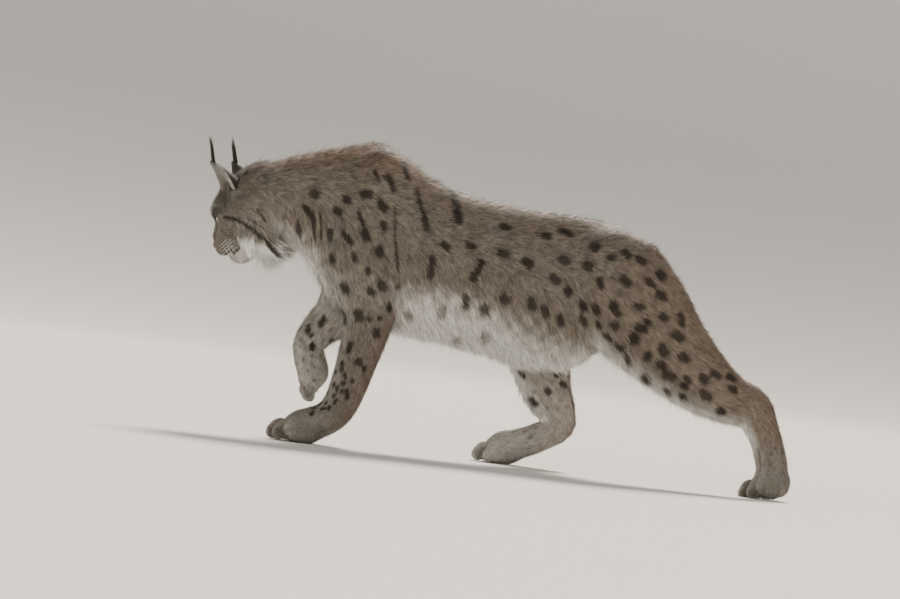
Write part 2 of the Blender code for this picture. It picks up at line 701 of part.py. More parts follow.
def join_diagonals(dist, step):
    """Fill grid squares whose inside corners meet only across a diagonal."""
    found = True
    while found:
        found = False
        for axis in range(3):
            p, q = (axis + 1) % 3, (axis + 2) % 3
            corners = []
            for step_p, step_q in ((0, 0), (1, 0), (1, 1), (0, 1)):
                part = [slice(None)] * 3
                part[p] = slice(step_p, dist.shape[p] - 1 + step_p)
                part[q] = slice(step_q, dist.shape[q] - 1 + step_q)
                corners.append(dist[tuple(part)])
            inside = [corner < 0 for corner in corners]
            crossed = (inside[0] == inside[2]) & (inside[1] == inside[3]) & (inside[0] != inside[1])
            if crossed.any():
                found = True
                for corner in corners:
                    corner[crossed] = np.minimum(corner[crossed], -step / 10)


def body_surface(name, low, high, step, triangles):
    """The body's surface inside a box, closed at the box."""
    field = body_field(low, high, step)
    dist = soften(soften(field.dist))
    for axis in range(3):
        edge = [slice(None)] * 3
        for end in (0, -1):
            edge[axis] = end
            dist[tuple(edge)] = step
    join_diagonals(dist, step)
    corners, faces = surface_net(dist, [v[0] for v in field.axes], step)
    item = new_object(name, corners, faces)
    reduce_faces(item, triangles)
    return item


def build_piece(name):
    bounds, taken, (low, high), step, triangles, finish = PIECES[name]
    item = body_surface(name, low, high, step, triangles)
    locks = piece_locks(name, item)
    if locks:
        fuse(item, locks)
    combine(item, region_solid(bounds, -GAP / 2), "INTERSECT")
    for region in taken:
        combine(item, region_solid(region, GAP / 2), "DIFFERENCE")
    return item, finish


def ball(name, centre, radius, detail):
    bm = bmesh.new()
    bmesh.ops.create_icosphere(bm, subdivisions=detail, radius=radius)
    bmesh.ops.translate(bm, verts=bm.verts[:], vec=Vector(centre))
    mesh = bpy.data.meshes.new(name)
    bm.to_mesh(mesh)
    bm.free()
    return link_object(name, mesh)


def ear_shell(side):
    """A cupped, pointed shell in the head's frame, wrapped round its opening."""
    base, tip = np.array(EAR_BASE), np.array(EAR_TIP)
    levels = 8
    around = 7
    facing = np.array((math.cos(EAR_FACING), math.sin(EAR_FACING), 0.0))
    sideways = np.array((-math.sin(EAR_FACING), math.cos(EAR_FACING), 0.0))
    rings = []
    for level in range(levels):
        v = level / (levels - 1)
        radius = EAR_RADIUS * (1 - v**1.6) ** 0.85 + 0.0022
        spread = math.radians(118 - 55 * v)
        thick = EAR_THICKNESS * (1 - 0.55 * v)
        middle = base + (tip - base) * v
        for offset in (0.0, thick):
            turns = np.linspace(-spread, spread, around)
            if offset:
                turns = turns[::-1]
            for turn in turns:
                reach = radius - offset
                rings.append(middle - facing * reach * math.cos(turn) + sideways * reach * math.sin(turn))
    count = 2 * around
    faces = []
    for level in range(levels - 1):
        for i in range(count):
            j = (i + 1) % count
            a, b = level * count, (level + 1) * count
            faces.append((a + i, a + j, b + j, b + i))
    for i in range(around - 1):
        last = (levels - 1) * count
        faces.append((i, count - 1 - i, count - 2 - i, i + 1))
        faces.append((last + i, last + i + 1, last + count - 2 - i, last + count - 1 - i))
    corners = np.array([head_point(place, side) for place in rings])
    return corners, faces


def blade(root, lie, out, size, lift, bend):
    """A flat, pointed, closed lock of a given length and width. It starts under the surface,
    leaves it at lift degrees and turns by bend degrees on its way to the tip."""
    length, width = size
    lie = lie - out * float(np.dot(lie, out))
    lie = lie / np.linalg.norm(lie)
    across = np.cross(out, lie)
    headings = []
    for i in range(LOCK_STEPS + 1):
        turn = math.radians(lift + bend * i / LOCK_STEPS)
        headings.append(math.cos(turn) * lie + math.sin(turn) * out)
    headings = np.array(headings)
    fronts = np.cross(headings, across)
    places = root + np.vstack((np.zeros(3), np.cumsum(headings[:-1] * length / LOCK_STEPS, axis=0)))
    places[0] -= LOCK_SINK * headings[0]
    share = np.arange(LOCK_STEPS + 1) / LOCK_STEPS
    corners = []
    for t in LOCK_STATIONS:
        middle = np.array([np.interp(t, share, places[:, k]) for k in range(3)])
        front = np.array([np.interp(t, share, fronts[:, k]) for k in range(3)])
        half = width / 2 * (0.8 + 0.9 * t) * (1 - t) ** 0.65
        thin = LOCK_THICKNESS / 2 * (1 - t) ** 0.5
        for side, rise in ((1, 0), (0, 1), (-1, 0), (0, -1)):
            corners.append(middle + side * half * across + rise * thin * front)
    corners.append(places[-1])
    faces = [(3, 2, 1, 0)]
    last = 4 * (len(LOCK_STATIONS) - 1)
    for k in range(4):
        j = (k + 1) % 4
        for ring in range(0, last, 4):
            faces.append((ring + k, ring + j, ring + 4 + j, ring + 4 + k))
        faces.append((last + k, last + j, len(corners) - 1))
    return np.array(corners), faces


def closed_object(name, corners, faces):
    mesh = bpy.data.meshes.new(name)
    mesh.from_pydata(corners.tolist(), [], faces)
    item = link_object(name, mesh)
    bm = bmesh.new()
    bm.from_mesh(mesh)
    bmesh.ops.triangulate(bm, faces=bm.faces[:])
    bmesh.ops.recalc_face_normals(bm, faces=bm.faces[:])
    bm.to_mesh(mesh)
    bm.free()
    return item


def surface_at(item, start, towards):
    """Where a ray meets the object, and the way out of it there."""
    ray = Vector(towards) - Vector(start)
    hit, place, normal, _ = item.ray_cast(Vector(start), ray.normalized())
    return (np.array(place), np.array(normal)) if hit else None


def ruff_locks(item, draw):
    """Cheek hair in rows that hang to one point on each side."""
    forward, _, up = head_axes()
    length, width = RUFF
    locks = []
    for side in (1, -1):
        for height, share in RUFF_ROWS:
            for column in RUFF_COLUMNS:
                start = head_point((column, RAY_START, height), side)
                found = surface_at(item, start, head_point((column, 0.0, height), side))
                if found:
                    lean = RUFF_CONVERGE * (RUFF_POINT - column) + draw.uniform(-0.08, 0.08)
                    size = (length * share * draw.uniform(0.9, 1.0), width)
                    locks.append(blade(found[0], lean * forward - up, found[1], size, *RUFF_LIFT))
    return locks


def trunk_locks(item, draw, spread, right_end=1.0):
    """Long hair that hangs back and down, set in staggered rows round the underside of the trunk."""
    rows, turns = spread
    length, width = FRINGE
    lift, bend = FRINGE_LIFT
    locks = []
    for number, along in enumerate(rows):
        stagger = ROW_STAGGER if number % 2 else -ROW_STAGGER
        for turn in turns:
            place = along + draw.uniform(-0.006, 0.006)
            angle = math.radians(turn + stagger + draw.uniform(-6, 6))
            beyond = (place, RAY_START * math.sin(angle), TRUNK_MIDDLE - RAY_START * math.cos(angle))
            found = surface_at(item, beyond, (place, 0.0, TRUNK_MIDDLE))
            if found and (place < right_end or turn < 10):
                size = (length * draw.uniform(0.85, 1.0), width)
                lie = np.array(FRINGE_LIE) + (0.0, draw.uniform(-0.15, 0.15), 0.0)
                hang = FRINGE_HANG * math.cos(angle) ** 4
                locks.append(blade(found[0], lie, found[1], size, lift + hang, bend))
    return locks


def piece_locks(name, item):
    draw = random.Random(name)
    if name == "head":
        return ruff_locks(item, draw)
    if name == "neck":
        return trunk_locks(item, draw, THROAT)
    if name == "torso":
        return trunk_locks(item, draw, CHEST) + trunk_locks(item, draw, BELLY, BELLY_RIGHT_END)
    return []


def fuse(item, locks):
    """Join closed locks to a piece with one union."""
    bunch = bpy.data.collections.new("locks")
    for corners, faces in locks:
        lock = closed_object("lock", corners, faces)
        bpy.context.scene.collection.objects.unlink(lock)
        bunch.objects.link(lock)
    bpy.context.scene.collection.children.link(bunch)
    join = item.modifiers.new("fuse", "BOOLEAN")
    join.operation = "UNION"
    join.solver = "EXACT"
    join.operand_type = "COLLECTION"
    join.collection = bunch
    apply_modifiers(item)
    for lock in list(bunch.objects):
        bpy.data.objects.remove(lock)
    bpy.data.collections.remove(bunch)


def ear_seat(side):
    """The flat on the head that the ear stands on: a point and the way out."""
    axis = head_point(EAR_TIP, side) - head_point(EAR_BASE, side)
    axis /= np.linalg.norm(axis)
    place = head_point((EAR_BASE[0], EAR_BASE[1], EAR_SEAT), side)
    return place, axis


def seat_block(side, shift):
    """A round block beyond the ear's seat, drawn in from it on all sides by shift."""
    place, axis = ear_seat(side)
    radius = SEAT_RADIUS - shift
    bm = bmesh.new()
    bmesh.ops.create_cone(bm, cap_ends=True, segments=20, radius1=radius, radius2=radius, depth=SEAT_HEIGHT)
    bmesh.ops.translate(bm, verts=bm.verts[:], vec=(0.0, 0.0, SEAT_HEIGHT / 2))
    turn = Vector((0.0, 0.0, 1.0)).rotation_difference(Vector(axis))
    bmesh.ops.rotate(bm, verts=bm.verts[:], matrix=turn.to_matrix())
    bmesh.ops.translate(bm, verts=bm.verts[:], vec=Vector(place + axis * shift))
    mesh = bpy.data.meshes.new("seat")
    bm.to_mesh(mesh)
    bm.free()
    return link_object("seat", mesh)


def tuft_locks(side, draw):
    """A pencil of locks on the tip of the ear, the middle ones longest."""
    forward, left, up = head_axes()
    length, width = EAR_TUFT
    locks = []
    for i in range(EAR_TUFT_LOCKS):
        share = i / (EAR_TUFT_LOCKS - 1) - 0.5
        root = head_point(np.array(EAR_TIP) + (0.005 * share, -0.003, -0.004), side)
        lie = up + forward * (EAR_TUFT_FAN * share + EAR_TUFT_LEAN) + side * left * draw.uniform(-0.05, 0.15)
        lie = lie / np.linalg.norm(lie)
        turn = i * math.pi * 0.4
        out = forward * math.cos(turn) + left * math.sin(turn)
        out = out - lie * float(np.dot(out, lie))
        out = out / np.linalg.norm(out)
        size = (length * (1 - 0.55 * abs(share)) * draw.uniform(0.92, 1.0), width)
        locks.append(blade(root, lie, out, size, 0, 6))
    return locks


def build_ears(head):
    """Each ear stands on a flat cut in the head and takes the cap cut away there."""
    ears = []
    for name, side in (("ear_left", 1), ("ear_right", -1)):
        cap = link_object(name, head.data.copy())
        combine(cap, seat_block(side, GAP / 2), "INTERSECT")
        shell = closed_object("shell", *ear_shell(side))
        combine(shell, seat_block(side, GAP), "INTERSECT")
        combine(cap, shell, "UNION")
        fuse(cap, tuft_locks(side, random.Random(name)))
        ears.append(cap)
    for side in (1, -1):
        combine(head, seat_block(side, -GAP / 2), "DIFFERENCE")
    return ears


def rest_on_origin(items):
    """Put the middle of the box over the origin and the soles on the floor."""
    points = np.concatenate([[v.co[:] for v in item.data.vertices] for item in items])
    low, high = points.min(axis=0), points.max(axis=0)
    shift = Vector((-(low[0] + high[0]) / 2, -(low[1] + high[1]) / 2, -low[2]))
    for item in items:
        for vert in item.data.vertices:
            vert.co += shift


def main():
    for old in list(bpy.data.objects):
        bpy.data.objects.remove(old)
    items = []
    for name in PIECES:
        item, finish = build_piece(name)
        if name == "head":
            for ear in build_ears(item):
                keep_largest(ear)
                dress(ear, "coat_ear")
                items.append(ear)
            for eye_name, side in (("eye_left", 1), ("eye_right", -1)):
                centre = head_point(EYE_CENTRE, side)
                combine(item, ball("socket", centre, EYE_RADIUS + GAP, 2), "DIFFERENCE")
                eye = ball(eye_name, centre, EYE_RADIUS, 2)
                dress(eye, "eye_amber")
                items.append(eye)
        keep_largest(item)
        dress(item, finish)
        items.append(item)
    rest_on_origin(items)


main()
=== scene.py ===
"""A life-size Eurasian lynx in mid stride: skin, coat, eyes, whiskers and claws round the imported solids.

Metres, +Z up, in the frame of the solids. The animal faces -X and its left side is -Y.
The skin is one surface under the tips of the coat. The coat is thousands of small
pointed tufts rooted on it, which take their colour from the same markings as the skin.
"""
import math

import bmesh
import bpy
import numpy as np
from mathutils import Matrix, Vector
from mathutils.bvhtree import BVHTree
from mathutils.kdtree import KDTree


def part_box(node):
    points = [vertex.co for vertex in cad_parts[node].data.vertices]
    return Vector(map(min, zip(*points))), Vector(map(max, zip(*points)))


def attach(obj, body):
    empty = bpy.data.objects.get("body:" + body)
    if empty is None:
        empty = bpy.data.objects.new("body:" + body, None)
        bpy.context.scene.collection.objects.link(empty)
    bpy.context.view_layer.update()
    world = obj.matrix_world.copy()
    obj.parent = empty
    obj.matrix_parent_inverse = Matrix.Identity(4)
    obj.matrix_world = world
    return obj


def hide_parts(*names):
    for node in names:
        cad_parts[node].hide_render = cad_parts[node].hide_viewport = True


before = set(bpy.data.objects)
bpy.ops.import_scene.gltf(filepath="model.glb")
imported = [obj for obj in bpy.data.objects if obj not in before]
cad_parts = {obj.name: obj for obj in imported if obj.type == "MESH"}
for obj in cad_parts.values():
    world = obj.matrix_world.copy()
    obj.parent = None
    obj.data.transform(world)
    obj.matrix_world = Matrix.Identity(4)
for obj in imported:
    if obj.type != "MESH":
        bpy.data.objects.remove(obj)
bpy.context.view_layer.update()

# Trunk stations: place along the body, height of the back, height of the belly, half width
TRUNK = (
    (-0.470, 0.586, 0.450, 0.070),
    (-0.420, 0.604, 0.422, 0.080),
    (-0.360, 0.625, 0.392, 0.090),
    (-0.300, 0.643, 0.345, 0.099),
    (-0.240, 0.657, 0.300, 0.106),
    (-0.180, 0.638, 0.276, 0.110),
    (-0.120, 0.601, 0.267, 0.113),
    (-0.050, 0.575, 0.261, 0.115),
    (0.040, 0.562, 0.248, 0.112),
    (0.120, 0.556, 0.232, 0.106),
    (0.200, 0.554, 0.236, 0.101),
    (0.270, 0.547, 0.276, 0.098),
    (0.330, 0.525, 0.330, 0.086),
    (0.362, 0.500, 0.375, 0.060),
)
TRUNK_EGG = 0.16
# Muscles: middle, radii, tilt in the side plane in degrees, blend
MUSCLES = (
    ((-0.238, -0.062, 0.520), (0.068, 0.040, 0.118), -12, 0.045),
    ((-0.262, 0.062, 0.512), (0.068, 0.040, 0.118), -22, 0.045),
    ((-0.232, -0.080, 0.400), (0.070, 0.040, 0.090), 12, 0.040),
    ((-0.255, 0.080, 0.400), (0.070, 0.040, 0.085), 10, 0.040),
    ((0.300, -0.058, 0.430), (0.105, 0.052, 0.095), 10, 0.050),
    ((0.270, 0.058, 0.430), (0.105, 0.052, 0.095), -5, 0.050),
)
# Limbs: rows of place along, place across, height, half width, half depth;
# then the paw's middle, its dip below level in degrees and its scale
LIMBS = {
    "foreleg_left": ((
        (-0.262, -0.070, 0.430, 0.046, 0.075),
        (-0.225, -0.080, 0.345, 0.046, 0.068),
        (-0.210, -0.083, 0.280, 0.042, 0.056),
        (-0.222, -0.084, 0.190, 0.037, 0.045),
        (-0.243, -0.085, 0.100, 0.034, 0.039),
        (-0.270, -0.086, 0.060, 0.036, 0.037),
        (-0.315, -0.087, 0.038, 0.039, 0.036),
    ), ((-0.325, -0.087, 0.028), 0, 1.00, 0.70)),
    "foreleg_right": ((
        (-0.290, 0.070, 0.430, 0.046, 0.075),
        (-0.262, 0.080, 0.350, 0.045, 0.066),
        (-0.275, 0.082, 0.290, 0.041, 0.056),
        (-0.312, 0.080, 0.245, 0.036, 0.043),
        (-0.333, 0.078, 0.212, 0.034, 0.036),
        (-0.328, 0.077, 0.175, 0.035, 0.035),
        (-0.318, 0.076, 0.150, 0.035, 0.030),
    ), ((-0.317, 0.076, 0.142), 72, 0.88, 0.0)),
    "hindleg_left": ((
        (0.300, -0.066, 0.420, 0.058, 0.118),
        (0.365, -0.073, 0.360, 0.056, 0.112),
        (0.430, -0.078, 0.300, 0.050, 0.092),
        (0.500, -0.081, 0.246, 0.043, 0.072),
        (0.570, -0.083, 0.207, 0.036, 0.053),
        (0.622, -0.084, 0.190, 0.033, 0.045),
        (0.655, -0.085, 0.140, 0.030, 0.036),
        (0.677, -0.086, 0.085, 0.032, 0.035),
        (0.684, -0.087, 0.050, 0.035, 0.035),
    ), ((0.681, -0.088, 0.031), 14, 0.94, 0.90)),
    "hindleg_right": ((
        (0.270, 0.066, 0.420, 0.058, 0.118),
        (0.205, 0.073, 0.340, 0.056, 0.110),
        (0.165, 0.078, 0.270, 0.050, 0.080),
        (0.180, 0.081, 0.200, 0.043, 0.060),
        (0.210, 0.083, 0.140, 0.036, 0.046),
        (0.225, 0.084, 0.100, 0.032, 0.036),
        (0.190, 0.085, 0.070, 0.031, 0.033),
        (0.145, 0.086, 0.048, 0.034, 0.034),
        (0.115, 0.087, 0.040, 0.037, 0.034),
    ), ((0.106, 0.087, 0.026), 0, 0.92, 0.0)),
    "tail": ((
        (0.350, 0.012, 0.475, 0.034, 0.034),
        (0.400, 0.016, 0.442, 0.030, 0.030),
        (0.434, 0.020, 0.385, 0.030, 0.030),
        (0.452, 0.022, 0.325, 0.023, 0.023),
    ), None),
}
LIMB_BLENDS = {"tail": 0.015}
LEG_BLEND = 0.025
HEAD_BLEND = 0.030
PAW_PAD = (0.044, 0.036, 0.032)
TOE_PITCH = 0.0193
TOE_KNUCKLE = (0.026, 0.0118, 0.024)
TOE_TIP = (0.016, 0.0115, 0.018)
TOE_LEAD = 0.034
OUTER_TOE_LEAD = 0.010
OUTER_TOE_DROP = 0.007
TOE_BLEND = 0.0025

# Head: its own frame runs forward, left and up from the middle of the braincase
HEAD_CENTRE = (-0.4806, 0.006, 0.4899)
HEAD_YAW = math.radians(22)
HEAD_PITCH = math.radians(40)
HEAD_ROLL = math.radians(5)
HEAD_REACH = 0.17
HEAD_OVALS = (
    ((0.000, 0.000, 0.004), (0.083, 0.066, 0.066), 0, 0.000),
    ((0.040, 0.000, 0.038), (0.046, 0.036, 0.026), -28, 0.020),
    ((0.060, 0.026, 0.030), (0.024, 0.020, 0.016), -20, 0.014),
    ((0.040, 0.044, -0.012), (0.042, 0.027, 0.034), 10, 0.025),
    ((0.074, 0.000, -0.030), (0.042, 0.036, 0.031), 0, 0.020),
    ((0.102, 0.016, -0.035), (0.024, 0.020, 0.021), 0, 0.010),
    ((0.084, 0.000, -0.066), (0.022, 0.022, 0.017), 0, 0.014),
    ((0.004, 0.052, -0.050), (0.040, 0.026, 0.050), 10, 0.025),
)
BRIDGE = ((0.060, 0.0, 0.027, 0.025, 0.020), (0.108, 0.0, -0.005, 0.0170, 0.0142))
NOSE = ((0.109, 0.0, -0.013, 0.0165, 0.012), (0.1205, 0.0, -0.0195, 0.0155, 0.011))
JAW = ((0.082, 0.011, -0.064, 0.018, 0.018), (0.015, 0.040, -0.062, 0.026, 0.026))
CHEEK = ((0.012, 0.050, -0.060, 0.024, 0.030), (0.012, 0.046, -0.088, 0.015, 0.020))
EYE_CENTRE = (0.068, 0.034, 0.015)
EYE_RADIUS = 0.0125
EYE_GAZE = math.radians(33)
LID_THICKNESS = 0.0028
LID_HALF_WIDTH = 0.0125
LID_HALF_HEIGHT = 0.0082
LID_SLANT = math.radians(-16)
NOSTRIL = ((0.1290, 0.0085, -0.0200), (0.006, 0.0032, 0.0030))
MOUTH_HEIGHT = -0.053
MOUTH_CORNER = 0.052
MOUTH_RISE = 5.0
MOUTH_RADIUS = 0.0026
MOUTH_DEPTH = 0.0012
EAR_BASE = (0.010, 0.045, 0.040)
EAR_TIP = (0.0135, 0.062, 0.122)
EAR_RADIUS = 0.0265
EAR_THICKNESS = 0.0036
EAR_FACING = math.radians(52)
FAR = 0.2
REACH = 0.035

# Coat: how far the skin lies under the tips, by part of the body
TRUNK_DEPTH = 0.0080
LEG_DEPTH = 0.0022
THIGH_DEPTH = 0.0075
HEAD_DEPTH = 0.0065
FACE_DEPTH = 0.0012
SKIN_STEP = 0.0044

# The photo's frame: pixels to metres, its roll, and the pixel of the point over the origin
PHOTO_SIZE = (900, 599)
METRES_PER_PIXEL = 0.00215
PHOTO_ROLL = math.radians(7)
PHOTO_ORIGIN = (450.0, 459.2)
CAMERA_DISTANCE = 8.0
SENSOR_WIDTH = 36.0


def smoothstep(low, high, value):
    t = np.clip((value - low) / (high - low), 0, 1)
    return t * t * (3 - 2 * t)


def smooth_stations(rows, steps):
    """Rows along a smooth curve through the given rows, all columns alike."""
    rows = np.asarray(rows, float)
    slopes = np.gradient(rows, axis=0)
    out = []
    for i in range(len(rows) - 1):
        for t in np.arange(steps) / steps:
            a = 2 * t**3 - 3 * t**2 + 1
            b = t**3 - 2 * t**2 + t
            c = 3 * t**2 - 2 * t**3
            d = t**3 - t**2
            out.append(a * rows[i] + b * slopes[i] + c * rows[i + 1] + d * slopes[i + 1])
    out.append(rows[-1])
    return np.array(out)


TRUNK_ROWS = smooth_stations(TRUNK, 6)


def smooth_min(a, b, blend):
    """The nearer of two distances, with a rounded valley of the given width."""
    if blend <= 0:
        return np.minimum(a, b)
    h = np.maximum(blend - np.abs(a - b), 0) / blend
    return np.minimum(a, b) - h * h * blend / 4


def smooth_max(a, b, blend):
    return -smooth_min(-a, -b, blend)


def oval(p, q, r, radii):
    """Distance to an oval, close to true at its surface."""
    a, b, c = radii
    near = np.sqrt((p / a)**2 + (q / b)**2 + (r / c)**2) + 1e-9
    slope = np.sqrt((p / a**2)**2 + (q / b**2)**2 + (r / c**2)**2) + 1e-9
    return near * (near - 1) / slope


def tilted_oval(x, y, z, centre, radii, tilt):
    c = math.cos(math.radians(tilt))
    s = math.sin(math.radians(tilt))
    p = x - centre[0]
    q = y - centre[1]
    r = z - centre[2]
    return oval(p * c + r * s, q, r * c - p * s, radii)


def length_axes(start, end):
    """Directions along, across and over a limb length."""
    run = end[:3] - start[:3]
    length = float(np.linalg.norm(run)) + 1e-9
    u = run / length
    side = np.array((0.0, 1.0, 0.0)) - u * u[1]
    side /= np.linalg.norm(side)
    return length, u, side, np.cross(u, side)


def length_distance(x, y, z, start, end):
    """Distance to one tapered oval length between two limb rows."""
    length, u, side, up = length_axes(start, end)
    qx = x - start[0]
    qy = y - start[1]
    qz = z - start[2]
    along = qx * u[0] + qy * u[1] + qz * u[2]
    t = np.clip(along / length, 0, 1)
    width = start[3] + (end[3] - start[3]) * t
    depth = start[4] + (end[4] - start[4]) * t
    across = qx * side[0] + qy * side[1] + qz * side[2]
    lift = qx * up[0] + qy * up[1] + qz * up[2]
    return oval(across, lift, along - t * length, (width, depth, np.minimum(width, depth)))


def trunk_section(x):
    """Height of the back and belly and the half width, at places along the trunk."""
    return tuple(np.interp(x, TRUNK_ROWS[:, 0], TRUNK_ROWS[:, k]) for k in (1, 2, 3))


def trunk_distance(x, y, z):
    top, belly, wide = trunk_section(x)
    deep = (top - belly) / 2
    lift = z - (top + belly) / 2
    wide = wide * (1 - TRUNK_EGG * np.clip(lift / deep, -1, 1))
    past = x - np.clip(x, TRUNK[0][0], TRUNK[-1][0])
    return oval(y, lift, past, (wide, deep, wide))


class Field:
    """Distance to one part of the body, on a grid of three axes or at loose points."""

    def __init__(self, axes, grid):
        self.axes = axes
        self.grid = grid
        shape = [len(v) for v in axes] if grid else len(axes[0])
        self.dist = np.full(shape, FAR, np.float32)

    def window(self, low, high):
        """The places within reach of a box, and their coordinates."""
        if self.grid:
            cut = []
            for axis, lo, hi in zip(self.axes, low, high):
                cut.append(slice(*np.searchsorted(axis, (lo - REACH, hi + REACH))))
            x, y, z = (axis[c] for axis, c in zip(self.axes, cut))
            return tuple(cut), x[:, None, None], y[None, :, None], z[None, None, :]
        keep = np.ones(len(self.axes[0]), bool)
        for axis, lo, hi in zip(self.axes, low, high):
            keep &= (axis > lo - REACH) & (axis < hi + REACH)
        keep = np.nonzero(keep)[0]
        return (keep, *(axis[keep] for axis in self.axes))

    def add(self, shape, low, high, blend):
        cut, x, y, z = self.window(low, high)
        if self.dist[cut].size:
            self.dist[cut] = smooth_min(self.dist[cut], shape(x, y, z), blend)


def head_axes():
    """The head's forward, left and up directions in the world."""
    level = np.array((-math.cos(HEAD_YAW), math.sin(HEAD_YAW), 0.0))
    left = np.array((-math.sin(HEAD_YAW), -math.cos(HEAD_YAW), 0.0))
    up = np.array((0.0, 0.0, 1.0))
    forward = math.cos(HEAD_PITCH) * level - math.sin(HEAD_PITCH) * up
    up = math.sin(HEAD_PITCH) * level + math.cos(HEAD_PITCH) * up
    rolled = math.cos(HEAD_ROLL) * left - math.sin(HEAD_ROLL) * up
    up = math.cos(HEAD_ROLL) * up + math.sin(HEAD_ROLL) * left
    return forward, rolled, up


HEAD_AXES = np.array(head_axes())


def head_point(place, side=1):
    """World position of a place in the head's frame, on its left or right side."""
    place = np.array(place, float) * (1, side, 1)
    return np.array(HEAD_CENTRE) + place @ HEAD_AXES


def to_head(x, y, z):
    x = x - HEAD_CENTRE[0]
    y = y - HEAD_CENTRE[1]
    z = z - HEAD_CENTRE[2]
    return tuple(x * v[0] + y * v[1] + z * v[2] for v in HEAD_AXES)


def limb_in_head(a, b, c, rows):
    return length_distance(a, b, c, np.array(rows[0]), np.array(rows[1]))


def eye_frame(a, b, c):
    """Coordinates about the eye: along its gaze, towards the ear, and up."""
    p = a - EYE_CENTRE[0]
    q = b - EYE_CENTRE[1]
    r = c - EYE_CENTRE[2]
    gaze = p * math.cos(EYE_GAZE) + q * math.sin(EYE_GAZE)
    outward = q * math.cos(EYE_GAZE) - p * math.sin(EYE_GAZE)
    wide = outward * math.cos(LID_SLANT) - r * math.sin(LID_SLANT)
    high = r * math.cos(LID_SLANT) + outward * math.sin(LID_SLANT)
    return gaze, wide, high


def carve_eye(dist, a, b, c):
    """Lids as a thin shell over the eyeball, open in an almond."""
    gaze, wide, high = eye_frame(a, b, c)
    ball = np.sqrt(gaze**2 + wide**2 + high**2)
    dist = smooth_min(dist, ball - EYE_RADIUS - LID_THICKNESS, 0.006)
    almond = np.abs(high) - LID_HALF_HEIGHT * (1 - (wide / LID_HALF_WIDTH)**2)
    opening = np.maximum(almond * 0.7, 0.004 - gaze)
    opening = np.maximum(opening, EYE_RADIUS * 0.86 - ball)
    return smooth_max(dist, -opening, 0.0015)


def lip_height(a):
    return MOUTH_HEIGHT + MOUTH_RISE * np.maximum(0.085 - a, 0)**2


def carve_mouth(dist, a, b, c):
    """A thin line round the muzzle from corner to corner, with the nostrils above it."""
    groove = np.sqrt((c - lip_height(a))**2 + (dist + MOUTH_DEPTH)**2) - MOUTH_RADIUS
    groove = np.maximum(groove, MOUTH_CORNER - a)
    dist = smooth_max(dist, -groove, 0.001)
    place, radii = NOSTRIL
    return smooth_max(dist, -oval(a - place[0], b - place[1], c - place[2], radii), 0.001)


def head_depth(a):
    return FACE_DEPTH + (HEAD_DEPTH - FACE_DEPTH) * smoothstep(0.080, 0.010, a)


def leg_depth(height):
    return LEG_DEPTH + (THIGH_DEPTH - LEG_DEPTH) * smoothstep(0.10, 0.40, height)


def head_distance(x, y, z, carved):
    """The head's skin: its form drawn in by the depth of its coat, with eyes and mouth if carved."""
    a, b, c = to_head(x, y, z)
    b = np.abs(b)
    dist = FAR
    for centre, radii, tilt, blend in HEAD_OVALS:
        dist = smooth_min(dist, tilted_oval(a, b, c, centre, radii, tilt), blend)
    dist = smooth_min(dist, limb_in_head(a, b, c, BRIDGE), 0.018)
    dist = smooth_min(dist, limb_in_head(a, b, c, NOSE), 0.005)
    dist = smooth_min(dist, limb_in_head(a, b, c, JAW), 0.020)
    dist = smooth_min(dist, limb_in_head(a, b, c, CHEEK), 0.015)
    dist = dist + head_depth(a)
    if carved:
        dist = carve_mouth(carve_eye(dist, a, b, c), a, b, c)
    return dist


def toe_lead(toe, slant):
    """How far a toe's knuckle lies before the middle of the paw."""
    return (OUTER_TOE_LEAD if abs(toe) > 1 else TOE_LEAD) + slant * toe * TOE_PITCH


def paw_ovals(slant):
    """Middle, radii and blend of each oval of a paw, forward, across and up."""
    ovals = [((0.0, 0.0, 0.0), PAW_PAD, 0.020)]
    for toe in (-1.5, -0.5, 0.5, 1.5):
        lead = toe_lead(toe, slant)
        drop = OUTER_TOE_DROP if abs(toe) > 1 else 0.002
        across = toe * TOE_PITCH
        ovals.append(((lead, across, -drop), (*TOE_KNUCKLE[:2], TOE_KNUCKLE[2] - drop / 2), TOE_BLEND))
        ovals.append(((lead + TOE_TIP[0], across, -0.010), TOE_TIP, TOE_BLEND))
    return ovals


def add_paw(field, centre, dip, scale, slant):
    c = math.cos(math.radians(dip))
    s = math.sin(math.radians(dip))
    low = np.array(centre) - 0.09
    high = np.array(centre) + 0.09
    for middle, radii, blend in paw_ovals(slant):
        def shape(x, y, z):
            p = (x - centre[0]) / scale
            q = (y - centre[1]) / scale
            r = (z - centre[2]) / scale
            forward = -p * c - r * s
            lift = r * c - p * s
            return scale * oval(forward - middle[0], q - middle[1], lift - middle[2], radii)
        field.add(shape, low, high, blend)


def limb_field(axes, grid, rows, paw):
    limb = Field(axes, grid)
    rows = smooth_stations(rows, 4)
    for start, end in zip(rows[:-1], rows[1:]):
        size = max(start[3:].max(), end[3:].max())
        low = np.minimum(start, end)[:3] - size
        high = np.maximum(start, end)[:3] + size
        limb.add(lambda x, y, z: length_distance(x, y, z, start, end), low, high, 0)
    if paw:
        add_paw(limb, *paw)
    return limb.dist


